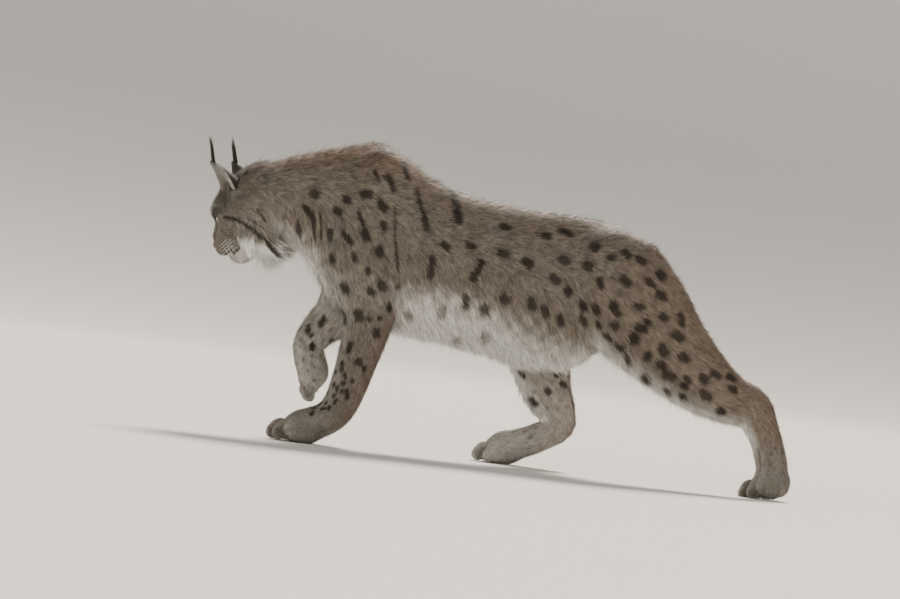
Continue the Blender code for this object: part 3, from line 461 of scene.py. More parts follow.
def body_parts(axes, grid, carved):
    """Distance to the skin of each part of the body."""
    height = axes[2][None, None, :] if grid else axes[2]
    trunk = Field(axes, grid)
    trunk.add(trunk_distance, (-0.56, -0.13, 0.20), (0.46, 0.13, 0.67), 0)
    for centre, radii, tilt, blend in MUSCLES:
        low = np.array(centre) - max(radii)
        high = np.array(centre) + max(radii)
        trunk.add(lambda x, y, z: tilted_oval(x, y, z, centre, radii, tilt), low, high, blend)
    head = Field(axes, grid)
    low = np.array(HEAD_CENTRE) - HEAD_REACH
    high = np.array(HEAD_CENTRE) + HEAD_REACH
    head.add(lambda x, y, z: head_distance(x, y, z, carved), low, high, 0)
    parts = {"trunk": trunk.dist + TRUNK_DEPTH, "head": head.dist}
    for name, (rows, paw) in LIMBS.items():
        depth = TRUNK_DEPTH if name == "tail" else leg_depth(height)
        parts[name] = limb_field(axes, grid, rows, paw) + depth
    return parts


def join_parts(parts, height):
    dist = smooth_min(parts["trunk"], parts["head"], HEAD_BLEND)
    for name in LIMBS:
        dist = smooth_min(dist, parts[name], LIMB_BLENDS.get(name, LEG_BLEND))
    return np.maximum(dist, -height)


def skin_distance(points, carved=True):
    axes = [np.ascontiguousarray(points[:, k]) for k in range(3)]
    return join_parts(body_parts(axes, False, carved), axes[2])


def net_corners(inside, dist):
    """Mean crossing point of the surface in each cell it passes through."""
    cells = tuple(n - 1 for n in inside.shape)
    total = np.zeros(cells + (3,), np.float32)
    count = np.zeros(cells, np.int8)
    for axis in range(3):
        p, q = (axis + 1) % 3, (axis + 2) % 3
        start = [slice(None)] * 3
        end = [slice(None)] * 3
        start[axis] = slice(0, -1)
        end[axis] = slice(1, None)
        near, far = dist[tuple(start)], dist[tuple(end)]
        crossed = inside[tuple(start)] != inside[tuple(end)]
        share = np.where(crossed, near / np.where(crossed, near - far, 1), 0)
        for step_p in (0, 1):
            for step_q in (0, 1):
                part = [slice(None)] * 3
                part[p] = slice(step_p, step_p + cells[p])
                part[q] = slice(step_q, step_q + cells[q])
                hit = crossed[tuple(part)]
                total[..., axis] += share[tuple(part)]
                total[..., p] += hit * step_p
                total[..., q] += hit * step_q
                count += hit
    return total, count


def surface_net(dist, low, step):
    """Corners and four-sided faces of the surface where the distance is zero."""
    inside = dist < 0
    total, count = net_corners(inside, dist)
    cells = np.argwhere(count > 0)
    corners = np.asarray(low) + step * (cells + total[count > 0] / count[count > 0][:, None])
    number = np.full(count.shape, -1, np.int64)
    number[count > 0] = np.arange(len(cells))
    faces = []
    for axis in range(3):
        p, q = (axis + 1) % 3, (axis + 2) % 3
        start = [slice(1, -1)] * 3
        end = [slice(1, -1)] * 3
        start[axis] = slice(0, -1)
        end[axis] = slice(1, None)
        leaves = inside[tuple(start)] & ~inside[tuple(end)]
        enters = ~inside[tuple(start)] & inside[tuple(end)]
        offset = np.ones(3, int)
        offset[axis] = 0
        for hit, turned in ((leaves, False), (enters, True)):
            base = np.argwhere(hit) + offset
            ring = []
            for step_p, step_q in ((-1, -1), (0, -1), (0, 0), (-1, 0)):
                cell = base.copy()
                cell[:, p] += step_p
                cell[:, q] += step_q
                ring.append(number[cell[:, 0], cell[:, 1], cell[:, 2]])
            ring = np.stack(ring, axis=1)
            faces.append(ring[:, ::-1] if turned else ring)
    return corners, np.concatenate(faces)


# Design coordinates turn into the frame's by one shift, read off the left eye
EYE_LOW, EYE_HIGH = (np.array(corner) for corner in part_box("eye_left"))
SHIFT = (EYE_LOW + EYE_HIGH) / 2 - head_point(EYE_CENTRE, 1)


def photo_point(pixel):
    """Where a pixel of the photo meets the animal's middle plane."""
    across = (pixel[0] - PHOTO_ORIGIN[0]) * METRES_PER_PIXEL
    down = (pixel[1] - PHOTO_ORIGIN[1]) * METRES_PER_PIXEL
    c, s = math.cos(PHOTO_ROLL), math.sin(PHOTO_ROLL)
    return np.array((across * c + down * s, 0.0, across * s - down * c))


CAMERA_PLACE = photo_point((PHOTO_SIZE[0] / 2, PHOTO_SIZE[1] / 2)) - (0, CAMERA_DISTANCE, 0)


def linear(code):
    """An sRGB hex colour in linear values, with alpha."""
    values = [int(code[i:i + 2], 16) / 255 for i in (1, 3, 5)]
    return (*(v / 12.92 if v <= 0.04045 else ((v + 0.055) / 1.055) ** 2.4 for v in values), 1.0)


def add_node(tree, kind, settings=None, inputs=None):
    """A node with its settings, its inputs each a value or the socket that feeds it."""
    node = tree.nodes.new(kind)
    for name, value in (settings or {}).items():
        setattr(node, name, value)
    for name, value in (inputs or {}).items():
        if isinstance(value, bpy.types.NodeSocket):
            tree.links.new(value, node.inputs[name])
        else:
            node.inputs[name].default_value = value
    return node


def new_material(name, values):
    """A material and its Principled shader with plain values set on its sockets."""
    material = bpy.data.materials.new(name)
    material.use_nodes = True
    shader = material.node_tree.nodes["Principled BSDF"]
    for socket, value in values.items():
        shader.inputs[socket].default_value = value
    return material, material.node_tree, shader


def build_mesh(name, points, faces, attributes=(), smooth=True):
    """An object from arrays: faces are a list of arrays, each with faces of one size."""
    mesh = bpy.data.meshes.new(name)
    sizes = np.concatenate([np.full(len(part), part.shape[1], np.int32) for part in faces])
    loops = np.concatenate([part.ravel() for part in faces]).astype(np.int32)
    mesh.vertices.add(len(points))
    mesh.vertices.foreach_set("co", np.ascontiguousarray(points + SHIFT, np.float32).ravel())
    mesh.loops.add(len(loops))
    mesh.loops.foreach_set("vertex_index", loops)
    mesh.polygons.add(len(sizes))
    mesh.polygons.foreach_set("loop_start", np.concatenate(([0], np.cumsum(sizes)[:-1])).astype(np.int32))
    mesh.polygons.foreach_set("loop_total", sizes)
    mesh.polygons.foreach_set("use_smooth", np.full(len(sizes), smooth))
    mesh.update(calc_edges=True)
    for label, values in dict(attributes).items():
        kind = "FLOAT_COLOR" if values.shape[1] == 4 else "FLOAT_VECTOR"
        layer = mesh.attributes.new(label, kind, "POINT")
        field = "color" if kind == "FLOAT_COLOR" else "vector"
        layer.data.foreach_set(field, np.ascontiguousarray(values, np.float32).ravel())
    item = bpy.data.objects.new(name, mesh)
    bpy.context.scene.collection.objects.link(item)
    return item


def as_rgba(*columns):
    """Columns of numbers as one colour attribute."""
    table = np.ones((len(columns[0]), 4))
    for number, column in enumerate(columns):
        table[:, number] = column
    return table


def slope(points):
    """Way out of the skin's field at loose points, by four samples round each."""
    step = 0.0006
    total = np.zeros_like(points)
    for corner in ((1, 1, 1), (1, -1, -1), (-1, 1, -1), (-1, -1, 1)):
        corner = np.array(corner, float)
        total += skin_distance(points + step * corner)[:, None] * corner
    return total / (4 * step)


def settle(points, steps):
    """Move points onto the carved skin."""
    for _ in range(steps):
        way = slope(points)
        size = (way**2).sum(1) + 1e-6
        move = -skin_distance(points)[:, None] * way / size[:, None]
        length = np.linalg.norm(move, axis=1) + 1e-12
        points = points + 0.8 * move * np.minimum(1, SETTLE_LIMIT / length)[:, None]
    return points


def refine(bm, choose):
    """Split the chosen faces in four."""
    bm.verts.ensure_lookup_table()
    middles = np.array([face.calc_center_median()[:] for face in bm.faces])
    chosen = choose(middles)
    faces = [face for face, keep in zip(bm.faces, chosen) if keep]
    edges = list({edge for face in faces for edge in face.edges})
    bmesh.ops.subdivide_edges(bm, edges=edges, cuts=1, use_grid_fill=True)


def head_forward(points):
    return to_head(points[:, 0], points[:, 1], points[:, 2])[0]


def near_face(points):
    a, b, c = to_head(points[:, 0], points[:, 1], points[:, 2])
    return (a > 0.035) & (np.abs(b) < 0.075) & (c > -0.10)


def near_feature(points):
    """Close to an eye, the nose or the lips."""
    a, b, c = to_head(points[:, 0], points[:, 1], points[:, 2])
    gaze, wide, high = eye_frame(a, np.abs(b), c)
    eye = wide**2 + high**2 + gaze**2 < 0.022**2
    nose = (a > 0.102) & (np.abs(b) < 0.022) & (np.abs(c + 0.018) < 0.022)
    lips = (a > MOUTH_CORNER - 0.004) & (np.abs(c - lip_height(a)) < 0.005)
    return eye | nose | lips


def paw_share(points):
    """How much each point belongs to a paw."""
    share = np.zeros(len(points))
    for _, paw in LIMBS.values():
        if paw:
            share = np.maximum(share, smoothstep(0.120, 0.050, np.linalg.norm(points - np.array(paw[0]), axis=1)))
    return share


def skin_mesh():
    """Corners and faces of the skin, finer on the head, face and paws."""
    axes = [np.arange(lo, hi, SKIN_STEP, dtype=np.float32) for lo, hi in zip(*SKIN_BOX)]
    dist = join_parts(body_parts(axes, True, False), axes[2][None, None, :])
    corners, faces = surface_net(dist, [axis[0] for axis in axes], SKIN_STEP)
    mesh = bpy.data.meshes.new("net")
    mesh.from_pydata(corners.tolist(), [], faces.tolist())
    bm = bmesh.new()
    bm.from_mesh(mesh)
    bpy.data.meshes.remove(mesh)
    refine(bm, lambda p: (head_forward(p) > -0.03) & (p[:, 2] > 0.34) & (p[:, 0] < -0.38) | (paw_share(p) > 0.5))
    refine(bm, near_face)
    refine(bm, near_feature)
    bmesh.ops.triangulate(bm, faces=[face for face in bm.faces if len(face.verts) > 4])
    points = np.array([vert.co[:] for vert in bm.verts])
    quads = np.array([[v.index for v in f.verts] for f in bm.faces if len(f.verts) == 4])
    tris = np.array([[v.index for v in f.verts] for f in bm.faces if len(f.verts) == 3])
    bm.free()
    fine = (head_forward(points) > -0.03) & (points[:, 0] < -0.38) | (paw_share(points) > 0.5)
    points[fine] = settle(points[fine], SETTLE_STEPS)
    return points, [quads, tris.reshape(-1, 3)]


def vertex_normals(item):
    values = np.empty(len(item.data.vertices) * 3, np.float32)
    item.data.vertex_normals.foreach_get("vector", values)
    return values.reshape(-1, 3).astype(float)


def add_camera():
    """The photo's view: level with the animal from its left side, rolled as the photo is."""
    lens = bpy.data.cameras.new("camera")
    lens.sensor_width = SENSOR_WIDTH
    lens.lens = SENSOR_WIDTH * CAMERA_DISTANCE / (PHOTO_SIZE[0] * METRES_PER_PIXEL)
    camera = bpy.data.objects.new("camera", lens)
    c, s = math.cos(PHOTO_ROLL), math.sin(PHOTO_ROLL)
    turn = Matrix(((c, -s, 0, 0), (0, 0, -1, 0), (s, c, 0, 0), (0, 0, 0, 1)))
    camera.matrix_world = Matrix.Translation(CAMERA_PLACE + SHIFT) @ turn
    bpy.context.scene.collection.objects.link(camera)
    bpy.context.scene.camera = camera


def add_light(name, place, spread, strength, colour):
    """Even light from one side, as soft as a panel that many degrees wide."""
    light = bpy.data.lights.new(name, "SUN")
    light.angle = math.radians(spread)
    light.energy = strength
    light.color = linear(colour)[:3]
    item = bpy.data.objects.new(name, light)
    item.matrix_world = Matrix.Translation(place) @ Vector(place).to_track_quat("Z", "Y").to_matrix().to_4x4()
    bpy.context.scene.collection.objects.link(item)


def add_stage():
    """A pale floor that sweeps up on all sides far from the animal, so no edge shows."""
    rings = [(0.0, 0.0), (1.0, 0.0), (3.0, 0.0), (6.0, 0.0), (SWEEP_START, 0.0)]
    for turn in np.radians(np.arange(4, 89, 4)):
        rings.append((SWEEP_START + SWEEP_RADIUS * math.sin(turn), SWEEP_RADIUS * (1 - math.cos(turn))))
    around = np.radians(np.arange(0, 360, 6))
    points = np.array([(r * math.cos(t), r * math.sin(t), z) for r, z in rings[1:] for t in around])
    points = np.vstack((points, (0.0, 0.0, 0.0)))
    count = len(around)
    step = np.arange(count)
    quads = []
    for ring in range(len(rings) - 2):
        near, far = ring * count, (ring + 1) * count
        quads.append(np.stack((near + step, far + step, far + (step + 1) % count, near + (step + 1) % count), 1))
    hub = np.stack((np.full(count, len(points) - 1), step, (step + 1) % count), 1)
    floor = build_mesh("floor", points - SHIFT, [np.concatenate(quads), hub])
    # Painted board: matt, pale and even
    material, _, _ = new_material("painted_board", {
        "Base Color": linear(FLOOR_COLOUR), "Roughness": 0.8, "Specular IOR Level": 0.2,
    })
    floor.data.materials.append(material)


def add_lights():
    add_light("back_light", (1.0, 5.6, 6.6), 20, 7.0, "#fff4e6")
    add_light("key_light", (-6.4, -5.6, 4.6), 40, 1.10, "#fffaf4")
    add_light("fill_light", (6.0, -7.0, 5.4), 50, 0.30, "#eef4ff")
    world = bpy.data.worlds.new("studio")
    world.use_nodes = True
    world.node_tree.nodes["Background"].inputs["Color"].default_value = linear("#dfe3e8")
    world.node_tree.nodes["Background"].inputs["Strength"].default_value = 0.42
    bpy.context.scene.world = world


SKIN_BOX = ((-0.64, -0.16, -0.012), (0.76, 0.16, 0.68))
SETTLE_LIMIT = 0.0015
SETTLE_STEPS = 8
FLOOR_COLOUR = "#d6d4cf"
SWEEP_START = 9.0
SWEEP_RADIUS = 10.0
FLESH_NODES = (
    "head", "neck", "torso", "tail",
    "foreleg_left_upper", "foreleg_left_lower", "forepaw_left",
    "foreleg_right_upper", "foreleg_right_lower", "forepaw_right",
    "hindleg_left_upper", "hindleg_left_lower", "hindpaw_left",
    "hindleg_right_upper", "hindleg_right_lower", "hindpaw_right",
)

# Spots on the left side, by their pixel in the photo: place, half length, half width in metres
BODY_SPOTS = (
    (446, 247), (471, 247), (505, 228),
    (503, 255), (528, 264), (547, 237), (567, 234), (565, 261), (589, 267), (596, 248), (555, 280),
    (569, 292), (601, 284), (612, 259), (627, 255), (626, 282), (641, 262), (651, 284), (505, 300),
    (485, 310), (532, 304), (545, 312), (560, 320), (585, 321), (585, 307),
    (597, 310), (614, 307), (616, 326), 
    (487, 334), (458, 334), (410, 314), (367, 195), (383, 207), (348, 201), (338, 212),
    (316, 195), (366, 236), (331, 236), (379, 252), (661, 276), (661, 296),
    (382, 287), (371, 292), (346, 289), (359, 316), (345, 318), (334, 260),
)
TALL_SPOTS = ((478, 271), (432, 268), (310, 214), (466, 302), (443, 312))
LEG_SPOTS = (
    (300, 231), (355, 259), (368, 272), (333, 285), (397, 287), (384, 227),
    (388, 308), (376, 334), (350, 348), (338, 351), (358, 362), (342, 367),
    (622, 347), (617, 313), (610, 337), (630, 359), (669, 390), (684, 396), (688, 380), (685, 386),
    (733, 390), (731, 378), (722, 411), (681, 318), (681, 324), (648, 323), (600, 325), (597, 311),
    (308, 330), (522, 374), (516, 381), (557, 374), (534, 402), (533, 411), (563, 385), (548, 392),
    (312, 347), (322, 322),
)
THIGH_SPOTS = (
    (664, 318), (642, 329), (678, 337), (635, 339), (664, 351), (648, 357), (684, 358), (663, 366),
    (648, 378), (670, 376), (704, 379), (716, 375), (706, 395), (639, 307),
)
# Smaller spots over the near wrist
SMALL_SPOTS = (
    (328, 393), (334, 396), (319, 398), (335, 402), (326, 403), (320, 404), (312, 402), (329, 408),
    (323, 409), (314, 408), (312, 413), (337, 389), (342, 392), (347, 392), (334, 385), (347, 397),
    (343, 384), (352, 381), (361, 364), (364, 369), (336, 372), (369, 320), (379, 319), (345, 376),
    (331, 340), (311, 336), (377, 334), (306, 405),
)
BODY_SPOT = (0.0130, 0.0098)
TALL_SPOT = (0.021, 0.0082)
LEG_SPOT = (0.0102, 0.0074)
THIGH_SPOT = (0.0140, 0.0098)
SMALL_SPOT = (0.0062, 0.0046)
# The streak on the near ruff; the far ruff is shorter and has none
LAST_STREAK = 0.0042
# Streaks on the left cheek and neck, by their pixels in the photo, with half widths in metres; the neck's list also
# holds a painted shadow along the crease behind the shoulder
STREAKS = (
    (((225.0, 216.8), (232.4, 218.3), (244.6, 225.0), (251.0, 228.3), (258.4, 236.0)), 0.0036),
    (((258.4, 236.0), (264.6, 240.0), (272.8, 249.5), (279.6, 256.0)), LAST_STREAK),
    (((248.4, 220.0), (263.0, 227.8)), 0.0022),
    (((257.6, 209.3), (265.7, 221.8)), 0.0022),
    (((238.6, 248.4), (234.3, 252.7)), 0.0045),
)
NECK_STREAKS_AND_CREASE_SHADOW = (
    (((313.0, 212.0), (316.0, 240.0)), 0.0035),
    (((321.0, 214.0), (322.0, 238.0)), 0.0030),
    (((299.0, 222.0), (301.0, 236.0)), 0.0040),
    # Painted shadow along the crease behind the shoulder
    (((395.0, 208.0), (395.0, 240.0), (398.0, 272.0)), 0.0026),
    (((416.4, 192.0), (421.0, 207.0), (425.0, 219.0)), 0.0050),
    (((425.0, 219.0), (426.8, 229.0)), 0.0074),
    (((451.0, 193.0), (456.0, 206.0), (459.0, 222.0)), 0.0096),
    (((401.5, 164.0), (404.0, 172.0), (406.5, 178.0)), 0.0090),
    (((388.5, 177.0), (391.0, 184.0), (393.0, 190.0)), 0.0074),
    (((375.5, 172.0), (379.0, 182.0)), 0.0040),
    (((359.5, 213.5), (364.0, 226.0)), 0.0050),
    (((343.5, 234.0), (352.0, 244.0)), 0.0062),
)
NEAR_LEGS = -0.085
SPOT_SPACING = (0.037, 0.027)
SPOT_EDGE = (1.30, 0.70)
# Faint flecks between the spots, and the speckles on each cheek
FLECKS = 420
FLECK = (0.0050, 0.0034)
SPECKLES = 70
SPECKLE = (0.0020, 0.0012)
# Dark lines over the crown, by their distance from the middle
CROWN_LINES = (0.005, 0.015, 0.026)
# Dark line from the inner corner of each eye to the nostril
BRIDGE_LINE = ((0.078, 0.019, 0.016), (0.092, 0.017, 0.009), (0.114, 0.0150, -0.009))
HAIR_REACH = 0.016
STREAK_REACH = 0.040


def unit(vectors):
    return vectors / (np.linalg.norm(vectors, axis=-1, keepdims=True) + 1e-12)


def ripple(points, size, seed):
    """Smooth noise from -1 to 1 with waves of about the given size."""
    draw = np.random.default_rng(seed)
    total = np.zeros(len(points))
    for _ in range(6):
        way = unit(draw.normal(size=3)) * (2 * math.pi / size) * draw.uniform(0.7, 1.5)
        total += np.sin(points @ way + draw.uniform(0, 6.3))
    return total / 3.2


def limb_place(rows, points):
    """Way down the limb near each point, the share of its length and its middle there."""
    rows = smooth_stations(rows, 4)[:, :3]
    middles = (rows[1:] + rows[:-1]) / 2
    gap = ((points[:, None] - middles[None])**2).sum(2)
    weight = np.exp(-(gap - gap.min(1)[:, None]) / LIMB_SOFT**2)
    weight /= weight.sum(1)[:, None]
    return weight @ unit(np.diff(rows, axis=0)), weight @ np.linspace(0, 1, len(middles)), weight @ middles


LIMB_SOFT = 0.025
STAND_SHARE = 0.80
FRINGE_RISE = 0.018
NECK_RISE = 0.010
GROUP_SOFT = 0.010
NOSE_POINT = (0.123, 0.0, -0.014)
RUFF_END = (0.008, 0.042, -0.166)
RUFF_GATHER = 0.75
FAR_RUFF = 0.45
BROW_RISE = 0.0105
THROAT_LIE = (0.75, 0.0, -0.80)
# The way the underside of the stretched thigh faces, turned about
THIGH_UNDER = np.array((0.50, 0.0, 0.87))
TURN_CENTRE = 0.42


def trunk_plan(points):
    """Columns of lie, length, width, rise and closeness for the hair of the trunk."""
    x, y, z = points.T
    top, belly, _ = trunk_section(x)
    rise = np.clip((z - belly) / (top - belly), 0, 1)
    neck = smoothstep(-0.22, -0.36, x)
    fall = 0.10 + 2.3 * smoothstep(0.80, 0.15, rise)
    fall += neck * smoothstep(0.55, 0.15, rise) * 1.2
    lie = np.stack((np.ones_like(x), 0 * x, -fall), 1)
    length = np.interp(rise, (0, 0.12, 0.30, 0.6, 1), (0.044, 0.036, 0.027, 0.022, 0.024))
    length = length + neck * (0.004 + 0.008 * smoothstep(0.4, 0.0, rise) * smoothstep(-0.38, -0.33, x))
    length = length - 0.014 * smoothstep(-0.35, -0.39, x) * smoothstep(0.5, 0.1, rise)
    stand = TRUNK_DEPTH + FRINGE_RISE * smoothstep(0.16, 0.02, rise) * smoothstep(-0.24, -0.16, x)
    stand += NECK_RISE * neck * smoothstep(0.35, 0.05, rise) * smoothstep(-0.39, -0.34, x)
    width = 0.0018 + 0.0003 * smoothstep(0.3, 0.0, rise)
    turn = np.arctan2(y, TURN_CENTRE - z)
    return lie, length, width, stand, np.full(len(x), 0.30), x, turn


def head_plan(points):
    a, b, c = to_head(*points.T)
    side = np.sign(b)
    away = np.stack((a - NOSE_POINT[0], b, c - NOSE_POINT[2]), 1)
    gathered = RUFF_END[0] + RUFF_GATHER * np.clip(a, 0, 0.06)
    down = np.stack((gathered - a, side * RUFF_END[1] - b, RUFF_END[2] - c), 1)
    ruff = smoothstep(0.062, 0.034, a) * smoothstep(0.012, -0.030, c) * smoothstep(0.016, 0.034, np.abs(b))
    ruff *= smoothstep(-0.020, 0.002, a)
    chin = smoothstep(-0.050, -0.062, c) * smoothstep(0.030, 0.060, a)
    brow = smoothstep(0.016, 0.034, c) * smoothstep(-0.004, 0.030, a) * smoothstep(0.058, 0.040, np.abs(b))
    throat = smoothstep(0.000, -0.025, a) * smoothstep(-0.015, -0.045, c)
    lie = unit(away) * (1 - ruff)[:, None] + unit(down) * (1.6 * ruff)[:, None]
    lie = lie * (1 - chin)[:, None] + np.array((-1.0, 0.0, -0.5)) * chin[:, None]
    lie = unit(lie @ HEAD_AXES) * (1 - throat)[:, None] + unit(np.array(THROAT_LIE)) * throat[:, None]
    length = np.interp(a, (-0.05, 0.0, 0.03, 0.06, 0.085, 0.11), (0.022, 0.020, 0.014, 0.008, 0.0048, 0.0026))
    fall = np.interp(c, (-0.10, -0.07, -0.03, 0.01), (0.054, 0.046, 0.025, 0.006))
    length = length + ruff * fall * np.where(b < 0, FAR_RUFF, 1.0)
    length = length + 0.004 * chin + 0.010 * brow + 0.002 * throat
    width = np.interp(a, (0.0, 0.05, 0.09), (0.0013, 0.0009, 0.0006)) + 0.0006 * ruff
    stand = head_depth(a) + 0.008 * ruff + 0.003 * chin + BROW_RISE * brow
    close = np.interp(a, (0.0, 0.05, 0.09), (0.48, 0.95, 1.50)) * (1 - 0.25 * ruff)
    return lie, length, width, stand, close, a, np.arctan2(b, c + 0.01)


def limb_plan(name, points):
    way, share, middle = limb_place(LIMBS[name][0], points)
    lie = way + np.array((0.12, 0.0, 0.0))
    ends = {
        "tail": (0.026, 0.026, 0.026, 0.026), "foreleg": (0.021, 0.013, 0.0095, 0.0056),
        "hindleg": (0.023, 0.014, 0.0100, 0.0058),
    }
    length = np.interp(share, (0.15, 0.60, 0.86, 0.97), ends[name.split("_")[0]])
    width = np.interp(share, (0.2, 0.6, 0.86, 0.97), (0.0017, 0.0013, 0.0010, 0.0007))
    close = np.interp(share, (0.2, 0.6, 0.86, 0.97), (0.28, 0.38, 0.60, 1.10))
    stand = leg_depth(points[:, 2])
    if name.startswith("hindleg"):
        fringe = smoothstep(0.60, 0.95, -(unit(points - middle) @ THIGH_UNDER)) * smoothstep(0.90, 0.35, share)
        lie = lie - 0.45 * fringe[:, None] * THIGH_UNDER
        length = length + 0.016 * fringe
        stand = stand + 0.009 * fringe
    if name == "tail":
        close = np.full(len(share), 0.5)
        stand = np.full(len(share), TRUNK_DEPTH)
    away = points - middle
    turn = np.arctan2(away[:, 1], away[:, 0])
    return lie, length, width, stand, close, share, turn


def coat_plan(points):
    """The coat's lie, length and so on at each point, blended where parts meet."""
    parts = body_parts([np.ascontiguousarray(column) for column in points.T], False, False)
    names = list(parts)
    dist = np.stack([parts[name] for name in names], 1).astype(float)
    weight = np.exp(-(dist - dist.min(1)[:, None]) / GROUP_SOFT)
    weight /= weight.sum(1)[:, None]
    plans = [trunk_plan(points), head_plan(points)] + [limb_plan(name, points) for name in LIMBS]
    lie = sum(weight[:, k, None] * unit(plan[0]) for k, plan in enumerate(plans))
    columns = [sum(weight[:, k] * plan[column] for k, plan in enumerate(plans)) for column in (1, 2, 3, 4)]
    owner = weight.argmax(1)
    place = np.stack([np.stack(plan[5:7], 1) for plan in plans], 1)[np.arange(len(points)), owner]
    lift = np.degrees(np.arcsin(np.clip(columns[2] / (columns[0] * STAND_SHARE), 0.10, 0.80)))
    return {
        "lie": unit(lie), "length": columns[0], "width": columns[1], "lift": lift, "close": columns[3],
        "owner": owner, "place": place, "names": names, "weight": weight,
    }


def capsule_marks(places, out, capsules):
    """How dark the marks under each place are, with painted shade in the clefts between the toes.

    Each mark is a line with a half width, spread along the skin's normal or along its own way through.
    """
    # Dark rows of the whisker pads, and painted shade in the clefts of the toes
    dark = np.maximum(pad_marks(places), paw_cleft_shade(places))
    wobble = 1 + 0.26 * ripple(places, 0.010, 5)
    order = places[:, 0].argsort()
    along = places[order, 0]
    for start, end, radius, strength, through in capsules:
        reach = radius * 1.8 + (HAIR_REACH if through is None else STREAK_REACH)
        low = np.minimum(start, end) - reach
        high = np.maximum(start, end) + reach
        near = order[slice(*np.searchsorted(along, (low[0], high[0])))]
        near = near[((places[near] > low) & (places[near] < high)).all(1)]
        if len(near):
            gap = places[near] - start
            way = out[near] if through is None else np.broadcast_to(through, gap.shape)
            gap = gap - way * (gap * way).sum(1)[:, None]
            run = (end - start) - way * (way @ (end - start))[:, None]
            gap -= np.clip((gap * run).sum(1) / ((run * run).sum(1) + 1e-12), 0, 1)[:, None] * run
            gap = np.linalg.norm(gap, axis=1) / radius * wobble[near]
            dark[near] = np.maximum(dark[near], strength * smoothstep(*SPOT_EDGE, gap))
    return dark


def cast(tree, pixel, depth):
    """Where the camera's ray through a pixel meets the skin, or else reaches the given depth."""
    way = photo_point(pixel) - CAMERA_PLACE
    place = tree.ray_cast(Vector(CAMERA_PLACE), Vector(way).normalized())[0]
    if place is None:
        return CAMERA_PLACE + way * (depth - CAMERA_PLACE[1]) / way[1]
    return np.array(place)


def lie_at(points, lie, place):
    return lie[((points - place)**2).sum(1).argmin()]


def spot_at(place, way, size, draw):
    """A spot drawn out along the lie of the hair."""
    half, radius = size
    radius = radius * draw.uniform(0.80, 1.12)
    stretch = max(half * draw.uniform(0.95, 1.40) - radius, 0.0005)
    way = unit(way + draw.normal(0, 0.28, 3))
    return place - way * stretch, place + way * stretch, radius, draw.uniform(0.86, 1.0), None


def photo_marks(points, lie, tree, draw):
    """Spots and streaks that the photo shows, and a painted shadow along the crease behind the shoulder, set on the
    skin along the camera's rays.
    """
    marks = []
    groups = (
        (BODY_SPOTS, BODY_SPOT), (TALL_SPOTS, TALL_SPOT), (LEG_SPOTS, LEG_SPOT),
        (THIGH_SPOTS, THIGH_SPOT), (SMALL_SPOTS, SMALL_SPOT),
    )
    for pixels, size in groups:
        for pixel in pixels:
            place = cast(tree, pixel, NEAR_LEGS)
            way = lie_at(points, lie, place)
            if size is TALL_SPOT:
                way = unit(way + np.array((0.0, 0.0, -2.0)))
            marks.append(spot_at(place, way, size, draw))
    across = np.array((0.0, 1.0, 0.0))
    for lines, mirrored in ((STREAKS, True), (NECK_STREAKS_AND_CREASE_SHADOW, False)):
        for pixels, radius in lines:
            stops = []
            for pixel in pixels:
                stops.append(cast(tree, pixel, stops[-1][1] if stops else NEAR_LEGS))
            for start, end in zip(stops[:-1], stops[1:]):
                marks.append((start, end, radius, 0.95, across if mirrored else None))
                if mirrored and radius != LAST_STREAK:
                    turned = [np.stack(to_head(*stop)) * (1, -1, 1) for stop in (start, end)]
                    marks.append((head_point(turned[0]), head_point(turned[1]), radius, 0.95, None))
    return marks


def crown_marks(tree):
    """Dark lines from the brow over the crown, drawn down onto the skin, and down the sides of the bridge."""
    marks = []
    for line in CROWN_LINES:
        for side in (1, -1):
            stops = []
            for forward in np.linspace(0.066, -0.030, 9):
                above = head_point((forward, line * (1.15 - 2.5 * forward), 0.12), side)
                stops.append(np.array(tree.ray_cast(Vector(above), Vector(-HEAD_AXES[2]))[0]))
            marks += [(start, end, 0.0021, 0.55, None) for start, end in zip(stops[:-1], stops[1:])]
    for side in (1, -1):
        stops = [head_point(stop, side) for stop in BRIDGE_LINE]
        marks += [(start, end, 0.0019, 0.60, None) for start, end in zip(stops[:-1], stops[1:])]
    return marks


def fleck_marks(points, lie, plan, pale, draw):
    """Small faint flecks all over the body, and speckles on the cheeks."""
    a, b, c = to_head(*points.T)
    head = plan["weight"][:, 1] > 0.5
    body = np.nonzero(~head & (pale < 0.5) & (points[:, 2] > 0.06))[0]
    cheek = np.nonzero(head & (a > 0.025) & (a < 0.092) & (c < 0.0) & (c > -0.046) & (np.abs(b) > 0.026))[0]
    marks = []
    for index in draw.permutation(body)[:FLECKS]:
        start, end, radius, strength, _ = spot_at(points[index], lie[index], FLECK, draw)
        marks.append((start, end, radius, 0.42 * strength, None))
    for index in draw.permutation(cheek)[:2 * SPECKLES]:
        start, end, radius, strength, _ = spot_at(points[index], lie[index], SPECKLE, draw)
        marks.append((start, end, radius, 0.55 * strength, None))
    return marks


